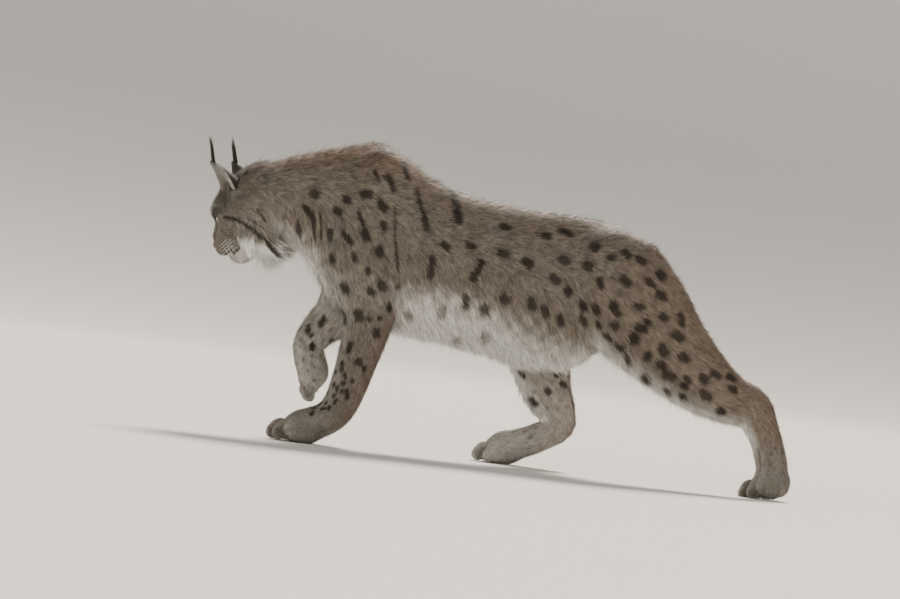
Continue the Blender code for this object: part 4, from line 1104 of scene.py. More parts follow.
def hidden_marks(points, out, lie, plan, pale, taken, draw):
    """Spots where the photo doesn't look: the right side, the back line and the far legs."""
    x, y, z = points.T
    away = unit(points - CAMERA_PLACE)
    hidden = (out * away).sum(1) > -0.10
    head = plan["weight"][:, 1] > 0.3
    inner = (np.abs(out[:, 1]) > 0.5) & (np.sign(out[:, 1]) != np.sign(y)) & (z < 0.32)
    plain = head | inner | (paw_share(points) > 0.2)
    allowed = np.nonzero(hidden & ~plain & (pale < 0.4) & (z > 0.06) & (out[:, 2] > -0.45))[0]
    middles = [(start + end) / 2 for start, end, _, _, _ in taken]
    marks = []
    trunk = plan["owner"] == 0
    for index in draw.permutation(allowed)[:9000]:
        place = points[index]
        gap = SPOT_SPACING[0] if trunk[index] else SPOT_SPACING[1]
        if ((np.array(middles) - place)**2).sum(1).min() > (gap * draw.uniform(0.85, 1.15))**2:
            marks.append(spot_at(place, lie[index], BODY_SPOT if trunk[index] else LEG_SPOT, draw))
            middles.append(place)
    return marks


def pale_rust_and_rim_light(points, out, plan):
    """Shares of white hair and of rusty hair over the body; along the top of the back the rusty share also holds a
    painted warm rim of back light.
    """
    x, y, z = points.T
    a, b, c = to_head(x, y, z)
    weight = plan["weight"]
    trunk = weight[:, 0]
    head = weight[:, 1]
    legs = weight[:, 2:6].sum(1)
    inner = np.clip(-out[:, 1] * np.sign(y), 0, 1)
    front = np.clip(-out[:, 0], 0, 1)
    paw = paw_share(points)
    pale = legs * (0.26 * smoothstep(0.2, 0.8, inner) + 0.20 * smoothstep(0.3, 0.9, front) + PAW_PALE * paw)
    under = np.clip(-(out @ THIGH_UNDER), 0, 1)
    pale += 0.75 * weight[:, 4:6].sum(1) * smoothstep(0.25, 0.85, under) * (1 - paw)
    brow = 0.45 * np.exp(-((a - 0.070)**2 + (np.abs(b) - 0.030)**2 + (c - 0.040)**2) / 0.011**2)
    temple = 0.35 * np.exp(-((a - 0.012)**2 + (np.abs(b) - 0.052)**2 + (c - 0.040)**2) / 0.016**2)
    under_eye = 0.5 * np.exp(-((a - 0.070)**2 + (np.abs(b) - 0.045)**2 + (c + 0.002)**2) / 0.007**2)
    pale += head * np.clip(brow + temple + under_eye, 0, 1)
    top, belly, _ = trunk_section(x)
    rise = (z - belly) / (top - belly)
    # Top of the back: rusty hair and a painted warm rim of back light, strongest at the nape
    back = smoothstep(0.72, 1.0, rise) * np.interp(x, *BACK_RUST_AND_RIM_LIGHT)
    flank = 0.10 * np.exp(-((z - white_line(x) - 0.03) / 0.03)**2)
    rust_and_rim_light = trunk * (0.04 + back + flank + 0.06 * ripple(points, 0.07, 13))
    rear = np.clip(out[:, 0], 0, 1)
    rust_and_rim_light += (legs * (0.04 + 0.30 * rear) + 0.14 * weight[:, 4:6].sum(1)) * (1 - paw)
    rust_and_rim_light += head * (0.0 + 0.20 * smoothstep(0.02, 0.05, c) * smoothstep(0.06, 0.0, a))
    rust_and_rim_light += weight[:, 6] * 0.2
    return np.clip(pale, 0, 1), np.clip(rust_and_rim_light * (1 - 0.8 * pale), 0, 1)


def white_line(x):
    """Height that the white hair of the belly and chest reaches."""
    return np.where(x < -0.25, np.interp(x, *WHITE_CHEST), np.interp(x, *WHITE_BELLY))


def white_share(points, trunk, head):
    """Share of white hair on the belly, chest, throat and cheeks."""
    a, b, c = to_head(*points.T)
    ragged = 0.014 * ripple(points, 0.03, 11) + 0.010 * ripple(points, 0.010, 12)
    belly = smoothstep(0.046, -0.040, points[:, 2] - white_line(points[:, 0]) + ragged)
    cheek = smoothstep(0.006, -0.006, c - np.interp(a, *WHITE_CHEEK) + ragged / 4)
    pad, rows = pad_rows(a, b, c)
    return trunk * belly + head * np.clip(cheek + 0.6 * pad * (1 - rows)**2, 0, 1)


# White hair reaches up to these heights along the body, and down from these on the cheek
WHITE_BELLY = ((-0.20, -0.04, 0.05, 0.18, 0.30), (0.325, 0.335, 0.312, 0.266, 0.250))
WHITE_CHEST = ((-0.45, -0.41, -0.325, -0.27), (0.450, 0.440, 0.387, 0.330))
WHITE_CHEEK = (
    (-0.030, -0.002, 0.004, 0.015, 0.034, 0.047, 0.055, 0.066, 0.076, 0.120),
    (-0.100, -0.120, -0.100, -0.084, -0.064, -0.052, -0.042, -0.048, -0.0545, -0.0545),
)
# Rusty hair and painted warm rim of back light along the top of the back, by place along the body
BACK_RUST_AND_RIM_LIGHT = ((-0.45, -0.20, -0.05, 0.30), (0.55, 0.50, 0.24, 0.20))
PAW_PALE = 0.08


def feature_masks(points):
    """Shares of black rim (lids, lips, nostrils) and of nose leather over the skin."""
    a, b, c = to_head(*points.T)
    side = np.abs(b)
    gaze, wide, high = eye_frame(a, side, c)
    almond = np.abs(high) - LID_HALF_HEIGHT * (1 - (wide / LID_HALF_WIDTH)**2)
    ball = np.sqrt(gaze**2 + wide**2 + high**2)
    rim = smoothstep(0.0046, 0.0022, almond) * (gaze > 0.001) * (ball < 0.024) * (np.abs(wide) < 0.0165)
    tear = smoothstep(0.004, 0.002, np.hypot(wide + 0.0145, high - 0.001)) * (gaze > 0.0)
    lips = smoothstep(0.0034, 0.0018, np.abs(c - lip_height(a))) * (a > MOUTH_CORNER - 0.002) * (c < -0.035)
    leather = smoothstep(0.1180, 0.1210, a) * smoothstep(-0.0335, -0.0285, c) * smoothstep(0.0015, -0.0025, c)
    leather *= smoothstep(0.0155, 0.0135, side)
    split = smoothstep(0.0018, 0.0008, side) * smoothstep(0.108, 0.114, a) * (c < -0.027) * (c > -0.053)
    place, radii = NOSTRIL
    nostril = smoothstep(0.0012, 0.0, oval(a - place[0], side - place[1], c - place[2], radii))
    return np.clip(rim + tear + lips + split + nostril, 0, 1), np.clip(leather, 0, 1)


YAW_STRAY = 9.0
MARK_STRAY = 0.0011
# Guard hairs: their share, and how much more they stand and reach; on the flanks they lie down
GUARD_SHARE = 0.09
GUARD_LIFT = 2.3
GUARD_LENGTH = 1.22
LIFT_LIMIT = 62.0
# Shares of a tuft's length that show between its neighbours
SEEN = (0.45, 0.85)


def scatter(points, tris, close, draw):
    """Seeded random places over the surface: corners of their triangles and weights."""
    a, b, c = (points[tris[:, k]] for k in range(3))
    area = np.linalg.norm(np.cross(b - a, c - a), axis=1) / 2 * 1e6
    count = np.floor(area * close[tris].mean(1) + draw.random(len(tris))).astype(int)
    which = np.repeat(np.arange(len(tris)), count)
    share = draw.random((len(which), 2))
    over = share.sum(1) > 1
    share[over] = 1 - share[over]
    return tris[which], np.column_stack((1 - share.sum(1), share))


def blend_at(values, corners, weights):
    if values.ndim == 1:
        return (values[corners] * weights).sum(1)
    return (values[corners] * weights[:, :, None]).sum(1)


def clump(roots, lie, draw, share):
    """Draw each tuft's tip towards the nearest of a few leaders: the offset and the clump's own tone."""
    leaders = np.nonzero(draw.random(len(roots)) < share)[0]
    tree = KDTree(len(leaders))
    for number, place in enumerate(roots[leaders].tolist()):
        tree.insert(place, number)
    tree.balance()
    found = np.array([tree.find(place)[1] for place in roots.tolist()])
    offset = roots[leaders][found] - roots
    offset -= lie * (offset * lie).sum(1)[:, None]
    return offset, draw.normal(size=len(leaders))[found]


def grow(name, tufts, segments, material, finish, draw, paint=None, stray=YAW_STRAY):
    """One piece of the coat: bent ribbons that taper to a point, built as one mesh.

    tufts holds arrays: root, out, lie, length, width, lift, pull, marks, tone, place.
    paint gives the dark and white shares at places along the tufts.
    """
    out = unit(tufts["out"])
    lie = tufts["lie"]
    lie = unit(lie - out * (lie * out).sum(1)[:, None])
    count = len(out)
    side = np.cross(out, lie)
    yaw = np.radians(draw.normal(0, stray, count))[:, None]
    lie = np.cos(yaw) * lie + np.sin(yaw) * side
    side = np.cross(out, lie)
    roll = np.radians(draw.uniform(-35, 35, count))[:, None]
    across = np.cos(roll) * side + np.sin(roll) * out
    lift = np.radians(tufts["lift"] * draw.uniform(0.5, 1.4, count))
    length = tufts["length"] * draw.uniform(0.75, 1.15, count)
    half = (tufts["width"] * draw.uniform(0.7, 1.2, count) / 2)[:, None]
    if paint:
        guard = draw.random(count) < GUARD_SHARE
        lift = np.where(guard, lift * (1 + (GUARD_LIFT - 1) * (1 - out[:, 1]**2)), lift)
        lift = np.minimum(lift, math.radians(LIFT_LIMIT))
        length = np.where(guard, length * GUARD_LENGTH, length)
        half = np.where(guard[:, None], half * 0.6, half)
    place = tufts["root"] - 0.0008 * out
    shape_points = []
    normals = []
    alongs = []
    spines = []
    for step in range(segments + 1):
        t = step / segments
        if step:
            turn = (lift * (1 - LIFT_FADE * t))[:, None]
            heading = np.cos(turn) * lie + np.sin(turn) * out
            place = place + heading * (length / segments)[:, None] + tufts["pull"] * PULL * (2 * t - 1 / segments) / segments
        spines.append(place)
        face = unit(out * NORMAL_SHARE + (np.cross(lie, across)) * (1 - NORMAL_SHARE))
        if step == segments:
            shape_points.append(place)
            normals.append(face)
            alongs.append(np.full(count, t))
        else:
            wide = half * (0.75 + 0.9 * t) * (1 - t) ** 0.6
            shape_points += [place - wide * across, place + wide * across]
            normals += [face, face]
            alongs += [np.full(count, t)] * 2
    rows = len(shape_points)
    points = np.stack(shape_points, 1).reshape(-1, 3)
    points[:, 2] = np.maximum(points[:, 2], FLOOR_CLEAR)
    first = (np.arange(count) * rows)[:, None]
    quads = [first + np.array((2 * k + 1, 2 * k, 2 * k + 2, 2 * k + 3)) for k in range(segments - 1)]
    tip = first + np.array((rows - 2, rows - 3, rows - 1))
    marks = np.repeat(tufts["marks"], rows, axis=0)
    if paint:
        shares = []
        for at in np.linspace(*SEEN, segments + 1) * segments:
            low = min(int(at), segments - 1)
            shares.append(paint(tufts, spines[low] + (at - low) * (spines[low + 1] - spines[low])))
        for column in (0, 1):
            sides = [share[column] for share in shares[:-1] for _ in (0, 1)]
            marks[:, column] = np.stack(sides + [shares[-1][column]], 1).ravel()
    strand = as_rgba(np.repeat(tufts["tone"], rows), np.stack(alongs, 1).ravel(), np.zeros(count * rows))
    item = build_mesh(name, points, quads + [tip], (
        ("marks", marks), ("strand", strand), ("custom_normal", np.stack(normals, 1).reshape(-1, 3)),
    ))
    low, high = tufts["place"].min(0), tufts["place"].max(0)
    base = UV_EDGE + (1 - 2 * UV_EDGE - UV_PATCH) * (tufts["place"] - low) / (high - low + 1e-9)
    corner = np.zeros((rows, 2))
    for step in range(segments):
        corner[2 * step] = (0, step / segments)
        corner[2 * step + 1] = (1, step / segments)
    corner[-1] = (0.5, 1)
    spread = (base[:, None] + UV_PATCH * corner[None]).reshape(-1, 2)
    order = np.concatenate([part.ravel() for part in quads + [tip]])
    layer = item.data.uv_layers.new(name="OFBake")
    layer.uv.foreach_set("vector", spread[order].astype(np.float32).ravel())
    item.data.materials.append(material)
    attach(item, "root")
    return item


PULL = 0.75
LIFT_FADE = 0.40
NORMAL_SHARE = 0.72
FLOOR_CLEAR = 0.0006
UV_EDGE = 0.02
UV_PATCH = 0.003
PIECE_LIMIT = 60000
CLUMP_SHARE = 0.06
TICKED = 0.20
TRUNK_REGIONS = ((-0.28, "neck"), (-0.13, "shoulders"), (0.03, "flanks"), (0.18, "loins"), (9.0, "hips"))


def coat_colour(tree):
    """Colour of the hair from the marks painted on it: grey-buff, rusty with a painted warm rim of back light along the
    back, white, and the spots with the painted shade of the toe clefts and a shoulder crease.
    """
    marks = add_node(tree, "ShaderNodeAttribute", {"attribute_name": "marks"})
    strand = add_node(tree, "ShaderNodeAttribute", {"attribute_name": "strand"})
    mark = add_node(tree, "ShaderNodeSeparateColor", None, {"Color": marks.outputs["Color"]})
    hair = add_node(tree, "ShaderNodeSeparateColor", None, {"Color": strand.outputs["Color"]})
    # Agouti hair: dark underwool at the root, a buff band, then a darker tip
    ground = add_node(tree, "ShaderNodeValToRGB", None, {"Fac": hair.outputs["Green"]})
    set_ramp(ground, ((0.0, "#35312d"), (0.45, "#68625a"), (0.85, "#837d73"), (1.0, "#504b45")))
    # Rusty hair colour, also used for the painted warm rim of back light along the top of the back
    rust_and_rim_light = add_node(tree, "ShaderNodeValToRGB", None, {"Fac": hair.outputs["Green"]})
    set_ramp(rust_and_rim_light, ((0.0, "#4a382c"), (0.5, "#7c5c42"), (1.0, "#906f51")))
    white = add_node(tree, "ShaderNodeValToRGB", None, {"Fac": hair.outputs["Green"]})
    set_ramp(white, ((0.0, "#a9a7a4"), (0.4, "#d6d5d2"), (1.0, "#edecea")))
    # Colour of the spots, also used for the painted shade in the toe clefts and along the crease behind the shoulder
    spot = add_node(tree, "ShaderNodeValToRGB", None, {"Fac": hair.outputs["Green"]})
    set_ramp(spot, ((0.0, "#1f1813"), (0.6, "#241c16"), (1.0, "#33291f")))
    colour = ground.outputs["Color"]
    for share, other in (("Blue", rust_and_rim_light), ("Green", white), ("Red", spot)):
        mixed = add_node(tree, "ShaderNodeMix", {"data_type": "RGBA"})
        tree.links.new(mark.outputs[share], mixed.inputs[0])
        tree.links.new(colour, mixed.inputs[6])
        tree.links.new(other.outputs["Color"], mixed.inputs[7])
        colour = mixed.outputs[2]
    tone = add_node(tree, "ShaderNodeMapRange", None, {
        "Value": hair.outputs["Red"], "To Min": 0.55, "To Max": 1.45,
    })
    shade = add_node(tree, "ShaderNodeVectorMath", {"operation": "SCALE"})
    tree.links.new(colour, shade.inputs[0])
    tree.links.new(tone.outputs["Result"], shade.inputs["Scale"])
    return shade.outputs["Vector"]


def set_ramp(node, stops):
    ramp = node.color_ramp
    while len(ramp.elements) < len(stops):
        ramp.elements.new(0.5)
    for element, (place, code) in zip(ramp.elements, stops):
        element.position = place
        element.color = linear(code)


def hair_material():
    """Guard hair and underwool of a lynx: dry, matt, with a faint silky gloss."""
    material, tree, shader = new_material("lynx_hair", {
        "Roughness": 0.62, "Specular IOR Level": 0.28, "IOR": 1.55,
        "Sheen Weight": 0.20, "Sheen Roughness": 0.4,
    })
    tree.links.new(coat_colour(tree), shader.inputs["Base Color"])
    return material


def skin_material():
    """Skin under the hair, coloured as the coat; bare leather on the nose, black lids and lips."""
    material, tree, shader = new_material("lynx_skin", {"Specular IOR Level": 0.35, "IOR": 1.45})
    features = add_node(tree, "ShaderNodeAttribute", {"attribute_name": "features"})
    share = add_node(tree, "ShaderNodeSeparateColor", None, {"Color": features.outputs["Color"]})
    colour = coat_colour(tree)
    for source, code in (("Green", "#5e423c"), ("Red", "#16110f")):
        mixed = add_node(tree, "ShaderNodeMix", {"data_type": "RGBA"})
        tree.links.new(share.outputs[source], mixed.inputs[0])
        tree.links.new(colour, mixed.inputs[6])
        mixed.inputs[7].default_value = linear(code)
        colour = mixed.outputs[2]
    tree.links.new(colour, shader.inputs["Base Color"])
    bare = add_node(tree, "ShaderNodeMath", {"operation": "MAXIMUM"})
    tree.links.new(share.outputs["Red"], bare.inputs[0])
    tree.links.new(share.outputs["Green"], bare.inputs[1])
    gloss = add_node(tree, "ShaderNodeMapRange", None, {"Value": bare.outputs[0], "To Min": 0.75, "To Max": 0.34})
    tree.links.new(gloss.outputs["Result"], shader.inputs["Roughness"])
    # Leather grain of the nose: pebbles about 0.6 mm across
    place = add_node(tree, "ShaderNodeTexCoord")
    grain = add_node(tree, "ShaderNodeTexVoronoi", None, {"Vector": place.outputs["Object"], "Scale": 1600.0})
    bump = add_node(tree, "ShaderNodeBump", None, {
        "Height": grain.outputs["Distance"], "Strength": 0.35, "Distance": 0.0003,
    })
    tree.links.new(bump.outputs["Normal"], shader.inputs["Normal"])
    return material


def triangles(faces):
    """All faces as triangles."""
    parts = []
    for part in faces:
        parts.append(part[:, :3])
        if part.shape[1] == 4:
            parts.append(part[:, (0, 2, 3)])
    return np.concatenate(parts)


def add_skin():
    points, faces = skin_mesh()
    skin = build_mesh("skin", points, faces)
    out = vertex_normals(skin)
    plan = coat_plan(points)
    pale, rust_and_rim_light = pale_rust_and_rim_light(points, out, plan)
    draw = np.random.default_rng(3)
    tree = BVHTree.FromPolygons(points.tolist(), triangles(faces).tolist())
    marks = photo_marks(points, plan["lie"], tree, draw)
    white = np.clip(pale + white_share(points, plan["weight"][:, 0], plan["weight"][:, 1]), 0, 1)
    marks += hidden_marks(points, out, plan["lie"], plan, white, marks, draw)
    marks += fleck_marks(points, plan["lie"], plan, white, draw) + crown_marks(tree)
    middles = np.array([(mark[0] + mark[1]) / 2 for mark in marks])
    nearest = [((points - middle)**2).sum(1).argmin() for middle in middles]
    trunk = plan["weight"][nearest, 0] * (middles[:, 0] > -0.40)
    fade = 1 - 0.40 * white_share(middles, trunk, np.zeros(len(marks)))
    marks = [(*mark[:3], mark[3] * share, mark[4]) for mark, share in zip(marks, fade)]
    # Dark share: spots and streaks, with painted shade in the toe clefts and a painted shadow along the crease behind
    # the shoulder
    dark = capsule_marks(points, out, marks)
    dark = np.maximum(dark, plan["weight"][:, 6] * smoothstep(0.400, 0.375, points[:, 2]))
    ink, leather = feature_masks(points)
    colours = as_rgba(dark, white, rust_and_rim_light)
    strand = as_rgba(np.full(len(points), 0.5), np.full(len(points), 0.35), np.zeros(len(points)))
    for label, values in (("marks", colours), ("strand", strand), ("features", as_rgba(ink, leather, ink * 0))):
        layer = skin.data.attributes.new(label, "FLOAT_COLOR", "POINT")
        layer.data.foreach_set("color", values.astype(np.float32).ravel())
    skin.data.materials.append(SKIN_MATERIAL)
    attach(skin, "root")
    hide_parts(*FLESH_NODES)
    bare = np.clip(ink * 1.3 + leather * 1.3, 0, 1)
    plan["close"] = plan["close"] * (1 - bare) * smoothstep(0.0004, 0.004, points[:, 2])
    return points, out, triangles(faces), plan, pale, rust_and_rim_light, marks


def region_names(plan, roots, length):
    """The piece of the coat that each tuft belongs to."""
    names = np.array(["coat_" + name for name in plan["names"]], dtype="<U30")[plan["owner"]]
    trunk = plan["owner"] == 0
    top, belly, _ = trunk_section(roots[:, 0])
    region = np.full(len(roots), "coat_hips", dtype="<U30")
    for limit, label in TRUNK_REGIONS[::-1]:
        region[roots[:, 0] < limit] = "coat_" + label
    fringe = (roots[:, 2] - belly < 0.12 * (top - belly)) & (roots[:, 0] > -0.2)
    region[fringe] = "coat_belly"
    names[trunk] = region[trunk]
    names[(plan["owner"] == 1) & (length > 0.027)] = "coat_ruff"
    return names


def add_coat(points, out, tris, plan, pale, rust_and_rim_light, marks):
    draw = np.random.default_rng(17)
    corners, weights = scatter(points, tris, plan["close"] * COAT_SHARE, draw)
    roots = blend_at(points, corners, weights)
    first = corners[:, 0]
    tufts = {
        "root": roots, "out": unit(blend_at(out, corners, weights)),
        "lie": unit(blend_at(plan["lie"], corners, weights)),
        "length": blend_at(plan["length"], corners, weights),
        "width": blend_at(plan["width"], corners, weights),
        "lift": blend_at(plan["lift"], corners, weights),
        "place": plan["place"][first],
    }
    swirl = np.radians(9 * ripple(roots, 0.06, 21) + 7 * ripple(roots, 0.02, 22))[:, None]
    tufts["lie"] = np.cos(swirl) * tufts["lie"] + np.sin(swirl) * np.cross(tufts["out"], tufts["lie"])
    tufts["length"] = tufts["length"] * (1 + 0.12 * ripple(roots, 0.03, 23))
    offset, clump_tone = clump(roots, tufts["lie"], draw, CLUMP_SHARE)
    tufts["pull"] = offset
    tail_tip = plan["weight"][first, 6] * smoothstep(0.400, 0.375, roots[:, 2])
    tufts["marks"] = as_rgba(tail_tip, blend_at(pale, corners, weights), blend_at(rust_and_rim_light, corners, weights))
    tufts["weight"] = blend_at(plan["weight"], corners, weights)
    tufts["stray"] = draw.normal(0, MARK_STRAY, roots.shape)
    tone = 0.5 + 0.17 * clump_tone + 0.17 * draw.normal(size=len(roots)) + 0.07 * ripple(roots, 0.05, 24)
    tone -= 0.30 * (draw.random(len(roots)) < TICKED)
    tufts["tone"] = np.clip(tone, 0, 1)

    def paint(chosen, places):
        """Shares of dark and of white hair where the tufts pass over the markings and the painted shade."""
        places = places + chosen["stray"]
        dark = capsule_marks(places, unit(chosen["out"]), marks)
        white = white_share(places, chosen["weight"][:, 0], chosen["weight"][:, 1])
        return np.maximum(chosen["marks"][:, 0], dark), np.clip(chosen["marks"][:, 1] + white, 0, 1)

    own = {"names": plan["names"], "owner": plan["owner"][first]}
    names = region_names(own, roots, tufts["length"])
    total = 0
    for name in sorted(set(names)):
        index = np.nonzero(names == name)[0]
        segments = 3 if name in LONG_HAIR else 2
        limit = PIECE_LIMIT if segments == 2 else PIECE_LIMIT * 3 // 5
        pieces = math.ceil(len(index) / limit)
        for number in range(pieces):
            part = index[number::pieces]
            chosen = {key: values[part] for key, values in tufts.items()}
            label = name if pieces == 1 else f"{name}_{number + 1}"
            grow(label, chosen, segments, HAIR_MATERIAL, SLOTS.get(name, "coat_grey"), draw, paint)
            total += len(part) * (2 * segments - 1)
            print(label, len(part))
    print("coat triangles", total)


def ear_point(v, share, depth, side):
    """Places on the ear's cup: v from base to tip, share from edge to edge, depth into the shell.

    Also gives the way out of the cup's back there and the way to its tip.
    """
    base, tip = np.array(EAR_BASE), np.array(EAR_TIP)
    radius = EAR_RADIUS * (1 - v**1.6) ** 0.85 + 0.0022
    turn = np.radians(118 - 55 * v) * share
    facing = np.array((math.cos(EAR_FACING), math.sin(EAR_FACING), 0.0))
    sideways = np.array((-math.sin(EAR_FACING), math.cos(EAR_FACING), 0.0))
    out = -facing * np.cos(turn)[:, None] + sideways * np.sin(turn)[:, None]
    place = base + (tip - base) * v[:, None] + out * (radius - depth)[:, None]
    mirror = np.array((1, side, 1))
    axis = unit(tip - base)
    out = unit(out + EAR_TAPER * axis)
    return head_point(place, side), (out * mirror) @ HEAD_AXES, (axis * mirror) @ HEAD_AXES


def ear_shell(name, side, material):
    """The cup itself, closed round its edges."""
    v, share = np.meshgrid(np.linspace(0, 1, EAR_LEVELS), np.linspace(-1, 1, EAR_AROUND), indexing="ij")
    v, share = v.ravel(), share.ravel()
    thick = EAR_THICKNESS * (1 - 0.55 * v) * (1 - 0.6 * share**6)
    outer = ear_point(v, share, 0.25 * thick, side)[0]
    inner = ear_point(v, share, thick, side)[0]
    count = len(v)
    grid = np.arange(count).reshape(EAR_LEVELS, EAR_AROUND)
    cells = np.stack((grid[:-1, :-1], grid[:-1, 1:], grid[1:, 1:], grid[1:, :-1]), 2).reshape(-1, 4)
    rim = np.concatenate((grid[0], grid[1:, -1], grid[-1, -2::-1], grid[-2:0:-1, 0]))
    after = np.roll(rim, -1)
    edge = np.stack((rim, rim + count, after + count, after), 1)
    ear = build_mesh(name, np.vstack((outer, inner)), [cells, cells[:, ::-1] + count, edge])
    bm = bmesh.new()
    bm.from_mesh(ear.data)
    bmesh.ops.recalc_face_normals(bm, faces=bm.faces[:])
    bm.to_mesh(ear.data)
    bm.free()
    v = np.tile(v, 2)
    share = np.tile(share, 2)
    back = np.arange(2 * count) < count
    marks = ear_marks(v, share, back)
    for label, values in (
        ("marks", marks), ("strand", as_rgba(v * 0 + 0.5, v * 0 + 0.35, v * 0)),
        ("features", as_rgba(v * 0, v * 0, v * 0)),
    ):
        layer = ear.data.attributes.new(label, "FLOAT_COLOR", "POINT")
        layer.data.foreach_set("color", values.astype(np.float32).ravel())
    ear.data.materials.append(material)
    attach(ear, "root")
    return ear


def ear_marks(v, share, back):
    """Black back with a pale patch, grey inside, white along the edges."""
    patch = np.exp(-((v - 0.36) / 0.18)**2 - (share / 0.34)**2)
    edge = smoothstep(0.95, 1.0, np.abs(share)) * smoothstep(0.97, 0.80, v)
    dark = np.where(back, 1 - 0.75 * patch - 0.6 * edge, 0.20 - 0.1 * edge + 0.5 * smoothstep(0.85, 1.0, v))
    pale = np.where(back, 0.5 * patch + 0.6 * edge, 0.40 + 0.30 * edge)
    return as_rgba(np.clip(dark, 0, 1), np.clip(pale, 0, 1), v * 0)


def ear_hair(name, side, material, draw):
    """Short fur on the back of the ear, longer fur inside it and a fringe along its edges."""
    parts = []
    for kind, count in EAR_HAIRS.items():
        v = 0.02 + (0.84 if kind == "inside" else 0.96) * draw.random(count)
        share = draw.uniform(-1, 1, count)
        if kind == "rim":
            share = np.sign(share) * draw.uniform(0.93, 1.0, count)
        depth = EAR_THICKNESS * (1 - 0.55 * v)
        depth = depth * (0.25 if kind == "back" else 1.0) if kind != "rim" else depth * 0.5
        place, out, axis = ear_point(v, share, depth, side)
        axis = np.tile(axis, (count, 1))
        inward = -out
        if kind == "back":
            columns = (out, axis, 0.0060, 0.0009, 14.0)
        elif kind == "inside":
            front = smoothstep(-0.2, -1.0, share) + smoothstep(0.6, 1.0, share)
            columns = (inward, axis + 0.35 * inward, 0.008 + 0.010 * front, 0.0009, 22.0)
        else:
            edge = ear_point(v, np.sign(share) * 1.25, depth, side)[0] - place
            columns = (inward, axis + 0.5 * unit(edge), 0.0050, 0.0006, 8.0)
        out, lie, length, width, lift = columns
        mark = ear_marks(v, share, kind == "back")
        if kind == "rim":
            mark = as_rgba(0.10 + 0.45 * smoothstep(0.75, 0.97, v), 0.72 - 0.5 * smoothstep(0.75, 0.97, v), v * 0)
        parts.append({
            "root": place, "out": out, "lie": lie, "length": np.zeros(count) + length,
            "width": np.full(count, width), "lift": np.full(count, lift), "pull": np.zeros((count, 3)),
            "marks": mark, "tone": np.clip(draw.normal(0.48, 0.15, count), 0, 1),
            "place": np.stack((v, share), 1),
        })
    tufts = {key: np.concatenate([part[key] for part in parts]) for key in parts[0]}
    grow(name, tufts, 2, material, "coat_ear", draw)


def ear_tuft(name, side, material, draw):
    """The pencil of long black hair on the ear's tip."""
    count = EAR_TUFT_HAIRS
    forward, left, up = HEAD_AXES
    share = draw.uniform(-0.5, 0.5, count)
    turn = draw.uniform(0, 2 * math.pi, count)
    near = draw.random(count) ** 0.5
    place = np.stack((0.0036 * near * np.cos(turn), 0.0030 * near * np.sin(turn), -0.012 * draw.random(count)), 1)
    place -= EAR_TUFT_BACK
    root = head_point(np.array(EAR_TIP) + place, side)
    lie = unit(up + EAR_TUFT_LEAN * forward + 0.015 * draw.normal(size=(count, 3)))
    out = np.cos(turn)[:, None] * forward + np.sin(turn)[:, None] * left
    out = unit(out - lie * (out * lie).sum(1)[:, None])
    dark = np.clip(1.0 - 0.5 * (draw.random(count) < 0.15), 0, 1)
    tufts = {
        "root": root, "out": out, "lie": lie, "length": EAR_TUFT_LENGTH * (1 - 0.40 * draw.random(count) ** 1.5),
        "width": np.full(count, 0.0009), "lift": np.full(count, 0.8), "pull": -1.0 * (root - root.mean(0)),
        "marks": as_rgba(dark, 0.3 * (1 - dark), dark * 0), "tone": np.clip(draw.normal(0.4, 0.15, count), 0, 1),
        "place": np.stack((share, turn), 1),
    }
    grow(name, tufts, 4, material, "coat_ear", draw, stray=EAR_TUFT_STRAY)


def add_ears(shell_material, hair):
    for name, side in (("ear_left", 1), ("ear_right", -1)):
        draw = np.random.default_rng(40 + side)
        shell = ear_shell(f"{name}_cup", side, shell_material)
        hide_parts(name)
        ear_hair(f"coat_{name}", side, hair, draw)
        ear_tuft(f"{name}_tuft", side, hair, draw)


EAR_LEVELS = 26
EAR_AROUND = 27
EAR_TAPER = 0.30
EAR_HAIRS = {"back": 6000, "inside": 4600, "rim": 1100}
EAR_TUFT_HAIRS = 240
EAR_TUFT_LENGTH = 0.057
EAR_TUFT_LEAN = -0.50
EAR_TUFT_STRAY = 1.6
EAR_TUFT_BACK = (0.0045, 0.0, 0.0)


def eye_material():
    """A wet eye: amber iris round a black pupil, with a dark rim, under a clear cornea."""
    material, tree, shader = new_material("lynx_eye", {
        "Roughness": 0.25, "IOR": 1.376, "Specular IOR Level": 0.5,
        "Coat Weight": 1.0, "Coat Roughness": 0.02, "Coat IOR": 1.376,
    })
    place = add_node(tree, "ShaderNodeAttribute", {"attribute_name": "iris"})
    parts = add_node(tree, "ShaderNodeSeparateColor", None, {"Color": place.outputs["Color"]})
    ramp = add_node(tree, "ShaderNodeValToRGB", None, {"Fac": parts.outputs["Red"]})
    set_ramp(ramp, (
        (0.0, "#050404"), (0.075, "#060504"), (0.088, "#5c3d16"), (0.13, "#a8792a"), (0.19, "#b98f3c"),
        (0.225, "#7a5520"), (0.242, "#1d120a"), (0.30, "#140d09"),
    ))
    # Fibres of the iris run out from the pupil, about 0.4 mm apart
    stretch = add_node(tree, "ShaderNodeMapping", None, {"Vector": place.outputs["Vector"], "Scale": (3.0, 40.0, 40.0)})
    fibre = add_node(tree, "ShaderNodeTexNoise", None, {
        "Vector": stretch.outputs["Vector"], "Scale": 1.0, "Detail": 4.0,
    })
    tone = add_node(tree, "ShaderNodeMapRange", None, {"Value": fibre.outputs["Fac"], "To Min": 0.5, "To Max": 1.6})
    shade = add_node(tree, "ShaderNodeVectorMath", {"operation": "SCALE"})
    tree.links.new(ramp.outputs["Color"], shade.inputs[0])
    tree.links.new(tone.outputs["Result"], shade.inputs["Scale"])
    tree.links.new(shade.outputs["Vector"], shader.inputs["Base Color"])
    return material


